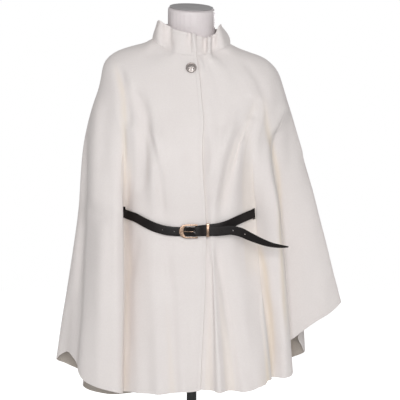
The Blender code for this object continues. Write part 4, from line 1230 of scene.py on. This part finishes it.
@dataclass
class Belt:
    """The narrow leather belt: one strap, the buckle's frame, its prong and the keeper."""

    thickness: float = 1.8
    hang: float = 1.8
    step: float = 4.0
    hole_radius: float = 1.2
    prong_hole_radius: float = 3.0
    prong_hole_x: float = 7.6
    free_hole_xs: tuple = (-64.0, -37.5, 67.0, 93.0, 119.0)
    punch_reach: float = 1.8
    slot_start: float = 10.0
    past_first_side: float = 300.0
    front_y: float = -90.0
    frame_place: tuple = (0.0, -103.0, 996.0)
    frame_height: float = 31.0
    frame_left: float = -27.0
    frame_right: float = 14.2
    frame_side: float = 3.0
    frame_tip: float = 10.0
    frame_bar: float = 2.4
    frame_thickness: float = 3.0
    frame_rounding: float = 0.9
    prong_radius: float = 0.8
    rivet_radius: float = 1.4
    rivet_flatness: float = 0.45
    rivet_below_top: float = 7.0

    def sections(self) -> tuple[np.ndarray, ...]:
        """Points along the strap's middle, its width and thickness directions, its widths and its run."""
        table = np.array([point[1:] for point in STRAP_POINTS], float)
        knots = knots_of(table[:, :3])
        at = []
        for i in range(len(knots) - 1):
            count = max(1, round((knots[i + 1] - knots[i]) / self.step))
            at.extend(knots[i] + (knots[i + 1] - knots[i]) * k / count for k in range(count))
        at = np.array([*at, knots[-1]])
        read = hermite(table, knots, at)
        middles, widths, twists = read[:, :3], read[:, 3], np.radians(read[:, 4])[:, None]
        middles[:, 2] -= self.hang * self.sunk(middles[:, 0], at < at[-1] / 2) * (middles[:, 1] < -40)
        along = unit(np.gradient(middles, axis=0))
        up = unit(np.array([0.0, 0.0, 1.0]) - along * along[:, 2:3])
        turned_up = up * np.cos(twists) + np.cross(along, up) * np.sin(twists)
        return middles, turned_up, np.cross(along, turned_up), widths, at

    @staticmethod
    def sunk(x: np.ndarray, near_end: np.ndarray) -> np.ndarray:
        """How much of the belt's hang each point in front has; the tail, on the far end's side, is raised."""
        under = 1 - smoothstep(x, 44.0, 92.0)
        over = 0.3 + 0.7 * smoothstep(x, -90.0, -40.0) - 3.2 * smoothstep(x, 50.0, 100.0)
        over = over + 1.6 * smoothstep(x, 130.0, 185.0)
        return smoothstep(x, -146.0, -110.0) * np.where(near_end, under, over)

    def build_strap(self, leather: bpy.types.Material) -> bpy.types.Object:
        """The strap, from its end round the buckle's bar, round the body, to its free tail."""
        middles, up, through, widths, at = self.sections()
        shares = np.array([-0.5, -0.47, -0.41, -0.28, -0.11, 0.11, 0.28, 0.41, 0.47, 0.5])
        crown = self.thickness / 2 * (1 - 0.3 * np.abs(shares * 2) ** 8)
        face = middles[:, None] + up[:, None] * (widths[:, None] * shares)[:, :, None]
        half = through[:, None] * crown[None, :, None]
        names = [point.name for point in STRAP_POINTS]
        knots = knots_of(np.array([point[1:4] for point in STRAP_POINTS], float))
        slot_end = knots[names.index("bar_front")] * 0.99
        holes = {(i, 4) for i in range(len(at) - 1) if self.slot_start < at[i] < slot_end}
        edges = ("first", "last", "top", "hem")
        wall = ClothWall("belt_strap_leather", face - half, face + half, 0 * face[..., 0], holes, edges, 0.35)
        strap = wall.build(leather, leather)
        front = (at > slot_end + self.past_first_side) & (middles[:, 1] < self.front_y)
        ahead = middles[front]
        for number, x in enumerate((self.prong_hole_x, *self.free_hole_xs)):
            near = np.flatnonzero(front)[np.argmin(np.abs(ahead[:, 0] - x))]
            centre = [np.interp(x, ahead[:, 0], ahead[:, k]) for k in (1, 2)]
            radius = self.hole_radius if number else self.prong_hole_radius
            self.punch(strap, np.array([x, *centre]), through[near], radius)
        return strap

    def punch(self, strap: bpy.types.Object, centre: np.ndarray, way: np.ndarray, radius: float) -> None:
        """Cuts a round hole through one layer of the strap."""
        bpy.ops.mesh.primitive_cylinder_add(
            vertices=24, radius=radius * MM, depth=self.thickness * self.punch_reach * MM,
            location=Vector(centre) * MM, rotation=Vector(way).to_track_quat("Z", "Y").to_euler(),
        )
        cutter = bpy.context.object
        cut = strap.modifiers.new("punched", "BOOLEAN")
        cut.object = cutter
        apply_modifiers(strap)
        bpy.data.objects.remove(cutter)

    def build_frame(self, gold: bpy.types.Material) -> bpy.types.Object:
        """The flat frame, round at its tip, with a window and a straight bar."""
        half, left, right = self.frame_height / 2, self.frame_left, self.frame_right
        outlines = [
            self.round_ended(half, left, right, 15.0),
            self.round_ended(half - self.frame_side, left + self.frame_tip, right - self.frame_bar, 8.0),
        ]
        lines = [[(x, z, 0.0, 1.0) for x, z in outline] for outline in outlines]
        frame = polyline_object(
            "belt_buckle_frame", "belt_frame_outline", lines, self.frame_rounding,
            dimensions="2D", fill_mode="BOTH", offset=-self.frame_rounding * MM,
            extrude=(self.frame_thickness / 2 - self.frame_rounding) * MM,
        )
        frame.rotation_euler = (math.radians(90), 0.0, 0.0)
        frame.location = (Vector(self.frame_place) - Vector((0.0, 0.0, self.hang))) * MM
        settle(frame)
        set_finish(frame, gold)
        return frame

    @staticmethod
    def round_ended(half_height: float, left: float, right: float, arc: float, count: int = 36) -> list:
        """An outline with a straight right end and a left end that is half an ellipse, as (x, z) points."""
        points = [(right, -half_height), (right, half_height)]
        for k in range(count + 1):
            angle = math.pi / 2 + math.pi * k / count
            points.append((left + arc + arc * math.cos(angle), half_height * math.sin(angle)))
        return points

    def build_prong(self, gold: bpy.types.Material) -> bpy.types.Object:
        """The thin prong, from its loop at the bar to its tip on the frame."""
        table = np.array(PRONG_POINTS, float)
        knots = knots_of(table)
        smooth = hermite(table, knots, np.linspace(0, knots[-1], 48)) - np.array([0.0, 0.0, self.hang])
        line = [(*at, min(1.0, 0.55 + 0.09 * (len(smooth) - 1 - n))) for n, at in enumerate(smooth)]
        names = ("belt_prong_wire", "belt_prong_line")
        prong = polyline_object(*names, [line], self.prong_radius, dimensions="3D", use_fill_caps=True)
        settle(prong)
        set_finish(prong, gold)
        return prong

    def build_keeper(self, keeper_node: bpy.types.Object, gold: bpy.types.Material) -> bpy.types.Object:
        """The square loop with softened edges, and the small rivet on its front."""
        keeper = merged_copy(keeper_node, "belt_keeper_loop")
        for vertex in keeper.data.vertices:
            vertex.co.z -= self.hang * MM
        soften(keeper, 0.45)
        set_finish(keeper, gold)
        low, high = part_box("belt_keeper")
        place = ((low.x + high.x) / 2, low.y + 0.1 * MM, high.z - self.rivet_below_top * MM)
        bpy.ops.mesh.primitive_uv_sphere_add(
            segments=20, ring_count=10, radius=self.rivet_radius * MM, location=place
        )
        rivet = bpy.context.object
        rivet.scale = (1.0, self.rivet_flatness, 1.0)
        set_finish(rivet, gold)
        select_only(keeper, rivet)
        bpy.ops.object.transform_apply(location=True, rotation=True, scale=True)
        bpy.ops.object.shade_smooth_by_angle(angle=math.radians(40))
        bpy.ops.object.join()
        return keeper

    def build(self, nodes: dict, finishes: Finishes) -> list[bpy.types.Object]:
        """Makes the belt's four pieces.

        Args:
            nodes: The CAD nodes by name.
            finishes: The part's materials.

        Returns:
            The pieces.
        """
        made = {
            "belt_strap": self.build_strap(finishes.leather),
            "belt_buckle": self.build_frame(finishes.gold),
            "belt_prong": self.build_prong(finishes.gold),
            "belt_keeper": self.build_keeper(nodes["belt_keeper"], finishes.gold),
        }
        return [PieceMaker.finish(piece, node) for node, piece in made.items()]


@dataclass
class Button:
    """The domed metal button with a beaded rim, whose outer side is darkened as a painted dark reflection,
    and a small rosette.
    """

    place: tuple = (0.0, -85.54, 1355.6)
    tilt: float = 1.22642
    sides: int = 96
    petals: int = 8
    relief: float = 0.35
    rosette: tuple = (0.5, 8.6)
    dome_height: float = 4.0
    rim_height: float = 2.2

    def build(self, finishes: Finishes) -> bpy.types.Object:
        """Turns the button's half section and presses the rosette into its dome.

        Args:
            finishes: The part's materials.

        Returns:
            The piece.
        """
        data = bpy.data.meshes.new("button_turned")
        points = [(radius * MM, 0.0, height * MM) for radius, height, _ in BUTTON_PROFILE]
        data.from_pydata(points, [(i, i + 1) for i in range(len(points) - 1)], [])
        button = link_object("button_metal", data)
        select_only(button)
        bpy.ops.object.mode_set(mode="EDIT")
        bpy.ops.mesh.select_all(action="SELECT")
        bpy.ops.mesh.spin(steps=self.sides, angle=2 * math.pi, center=(0, 0, 0), axis=(0, 0, 1))
        weld(0.00002)
        self.press_rosette(button)
        set_finish(button, finishes.silver, finishes.painted_rim_reflection)
        # Painted dark reflection: faces on the outer side of the rim take the dark material.
        shadow = [radius for radius, _, dark in BUTTON_PROFILE if dark]
        for face in button.data.polygons:
            radius = math.hypot(face.center.x, face.center.y) / MM
            painted_light = any(min(pair) < radius < max(pair) for pair in zip(shadow, shadow[1:]))
            face.material_index = int(painted_light and face.center.z / MM > self.rim_height)
            face.use_smooth = True
        button.rotation_euler = (self.tilt, 0.0, 0.0)
        button.location = Vector(self.place) * MM
        settle(button)
        return PieceMaker.finish(button, "button")

    def press_rosette(self, button: bpy.types.Object) -> None:
        """Raises and sinks the dome's face in petals."""
        start, end = self.rosette
        for vertex in button.data.vertices:
            radius = math.hypot(vertex.co.x, vertex.co.y) / MM
            if vertex.co.z / MM > self.dome_height and start < radius < end:
                angle = math.atan2(vertex.co.y, vertex.co.x)
                belly = math.sin(math.pi * (radius - start) / (end - start))
                vertex.co.z += self.relief * belly * math.cos(self.petals * angle) * MM


@dataclass
class DressForm:
    """The glossy limbless form with the grey cap on its neck, on its painted stand."""

    stand_nodes: tuple = ("stand_flange", "stand_pole", "stand_base")
    neck_top_z: float = 1496.2
    cap_radii: tuple = (49.5, 48.5)
    cap_thickness: float = 1.6
    cap_tilt: float = 14.0

    def build(self, nodes: dict, finishes: Finishes) -> list[bpy.types.Object]:
        """Dresses the nodes of the form and its stand, and adds the neck's cap.

        Args:
            nodes: The CAD nodes by name.
            finishes: The part's materials.

        Returns:
            The new pieces.
        """
        for name in ("form_torso", *self.stand_nodes):
            for holder in nodes[name].material_slots:
                holder.material = finishes.stand if name in self.stand_nodes else finishes.form
        return [self.build_cap(finishes.cap)]

    def build_cap(self, grey: bpy.types.Material) -> bpy.types.Object:
        """A thin rounded disc that lies on the slanted top of the neck."""
        slope = math.tan(math.radians(self.cap_tilt))
        bpy.ops.mesh.primitive_cylinder_add(vertices=96, radius=1.0, depth=1.0, end_fill_type="NGON")
        cap = bpy.context.object
        cap.name = "neck_cap"
        cap.data.name = "neck_cap"
        cap.scale = (self.cap_radii[0] * MM, self.cap_radii[1] * MM, self.cap_thickness * MM)
        bpy.ops.object.transform_apply(location=True, rotation=True, scale=True)
        soften(cap, 0.7)
        for vertex in cap.data.vertices:
            level = self.neck_top_z * MM + vertex.co.y * slope - vertex.co.x * LEAN
            vertex.co.z += level + self.cap_thickness / 2 * MM
        set_finish(cap, grey)
        return PieceMaker.finish(cap, "form_torso", stands_for=False)


@dataclass
class Studio:
    """The pale floor, the soft lights, the white surroundings and the camera."""

    camera_place: tuple = (0.0196, -2.8, 1.25)
    camera_aim: tuple = (0.0196, 0.0, 1.057)
    light_aim: tuple = (0.0, 0.0, 1.05)
    lens: float = 109.83
    sensor: float = 36.0
    surround: float = 0.35
    floor_radius: float = 6.0
    floor_glow: float = 0.85

    def build(self) -> None:
        """Makes the floor, lights, world and camera."""
        self.add_floor()
        self.add_light("key_light", (0.12, -3.0, 1.8), 47.3, 1.5)
        self.add_light("fill_light", (-2.3, -2.3, 2.2), 3.0, 1.5).visible_glossy = False
        self.add_light("back_light", (0.9, 3.0, 1.5), 34.0, 1.6)
        self.add_world()
        self.add_camera()

    def add_floor(self) -> None:
        """A wide pale disc under the stand."""
        bpy.ops.mesh.primitive_circle_add(
            vertices=96, radius=self.floor_radius, fill_type="NGON", location=(0, 0, -0.0005)
        )
        floor = bpy.context.object
        floor.name = "studio_floor"
        material, graph, shader, place = new_material("pale_floor")
        tone = graph.remap(graph.noise(place, 3.0), 0.3, 0.7, 0.86, 0.9)
        seen = graph.add("LightPath").outputs["Is Camera Ray"]
        graph.feed(shader, {
            "Base Color": graph.add("CombineColor", {0: tone, 1: tone, 2: tone}).outputs[0],
            "Roughness": 0.7,
            "Emission Strength": graph.math("MULTIPLY", seen, self.floor_glow),
            "Emission Color": WHITE,
        })
        set_finish(floor, material)

    def add_light(self, name: str, place: tuple, power: float, size: float) -> bpy.types.Object:
        """One square soft light that looks at the cape's middle."""
        bpy.ops.object.light_add(type="AREA", location=place)
        light = bpy.context.object
        light.name = name
        light.data.energy = power
        light.data.size = size
        self.turn_to(light, self.light_aim)
        return light

    @staticmethod
    def turn_to(thing: bpy.types.Object, aim: tuple) -> None:
        """Turns a light or a camera to look at a point."""
        thing.rotation_euler = (Vector(aim) - thing.location).to_track_quat("-Z", "Y").to_euler()

    def add_world(self) -> None:
        """White surroundings that light the part softly."""
        world = bpy.data.worlds.new("white_surroundings")
        bpy.context.scene.world = world
        world.use_nodes = True
        graph = Graph(world.node_tree)
        seen = graph.add("LightPath").outputs["Is Camera Ray"]
        strength = graph.remap(seen, 0.0, 1.0, self.surround, 1.0)
        graph.feed(world.node_tree.nodes["Background"], {"Color": WHITE, "Strength": strength})

    def add_camera(self) -> None:
        """The camera at the photograph's height and distance."""
        bpy.ops.object.camera_add(location=self.camera_place)
        camera = bpy.context.object
        camera.name = "photo_camera"
        camera.data.lens = self.lens
        camera.data.sensor_width = self.sensor
        self.turn_to(camera, self.camera_aim)
        bpy.context.scene.camera = camera
        bpy.context.scene.view_settings.view_transform = "Standard"


def main() -> None:
    """Loads the frame and builds every piece of the part, then its studio."""
    logging.basicConfig(level=logging.INFO, format="%(name)s: %(message)s")
    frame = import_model()
    bpy.ops.object.select_all(action="DESELECT")
    finishes, nodes = build_finishes(), frame["nodes"]
    pieces = [
        *Cape().build(finishes),
        *DressForm().build(nodes, finishes),
        *Belt().build(nodes, finishes),
        Button().build(finishes),
    ]
    LOG.info("%d pieces made", len(pieces))
    Studio().build()


if __name__ == "__main__":
    main()
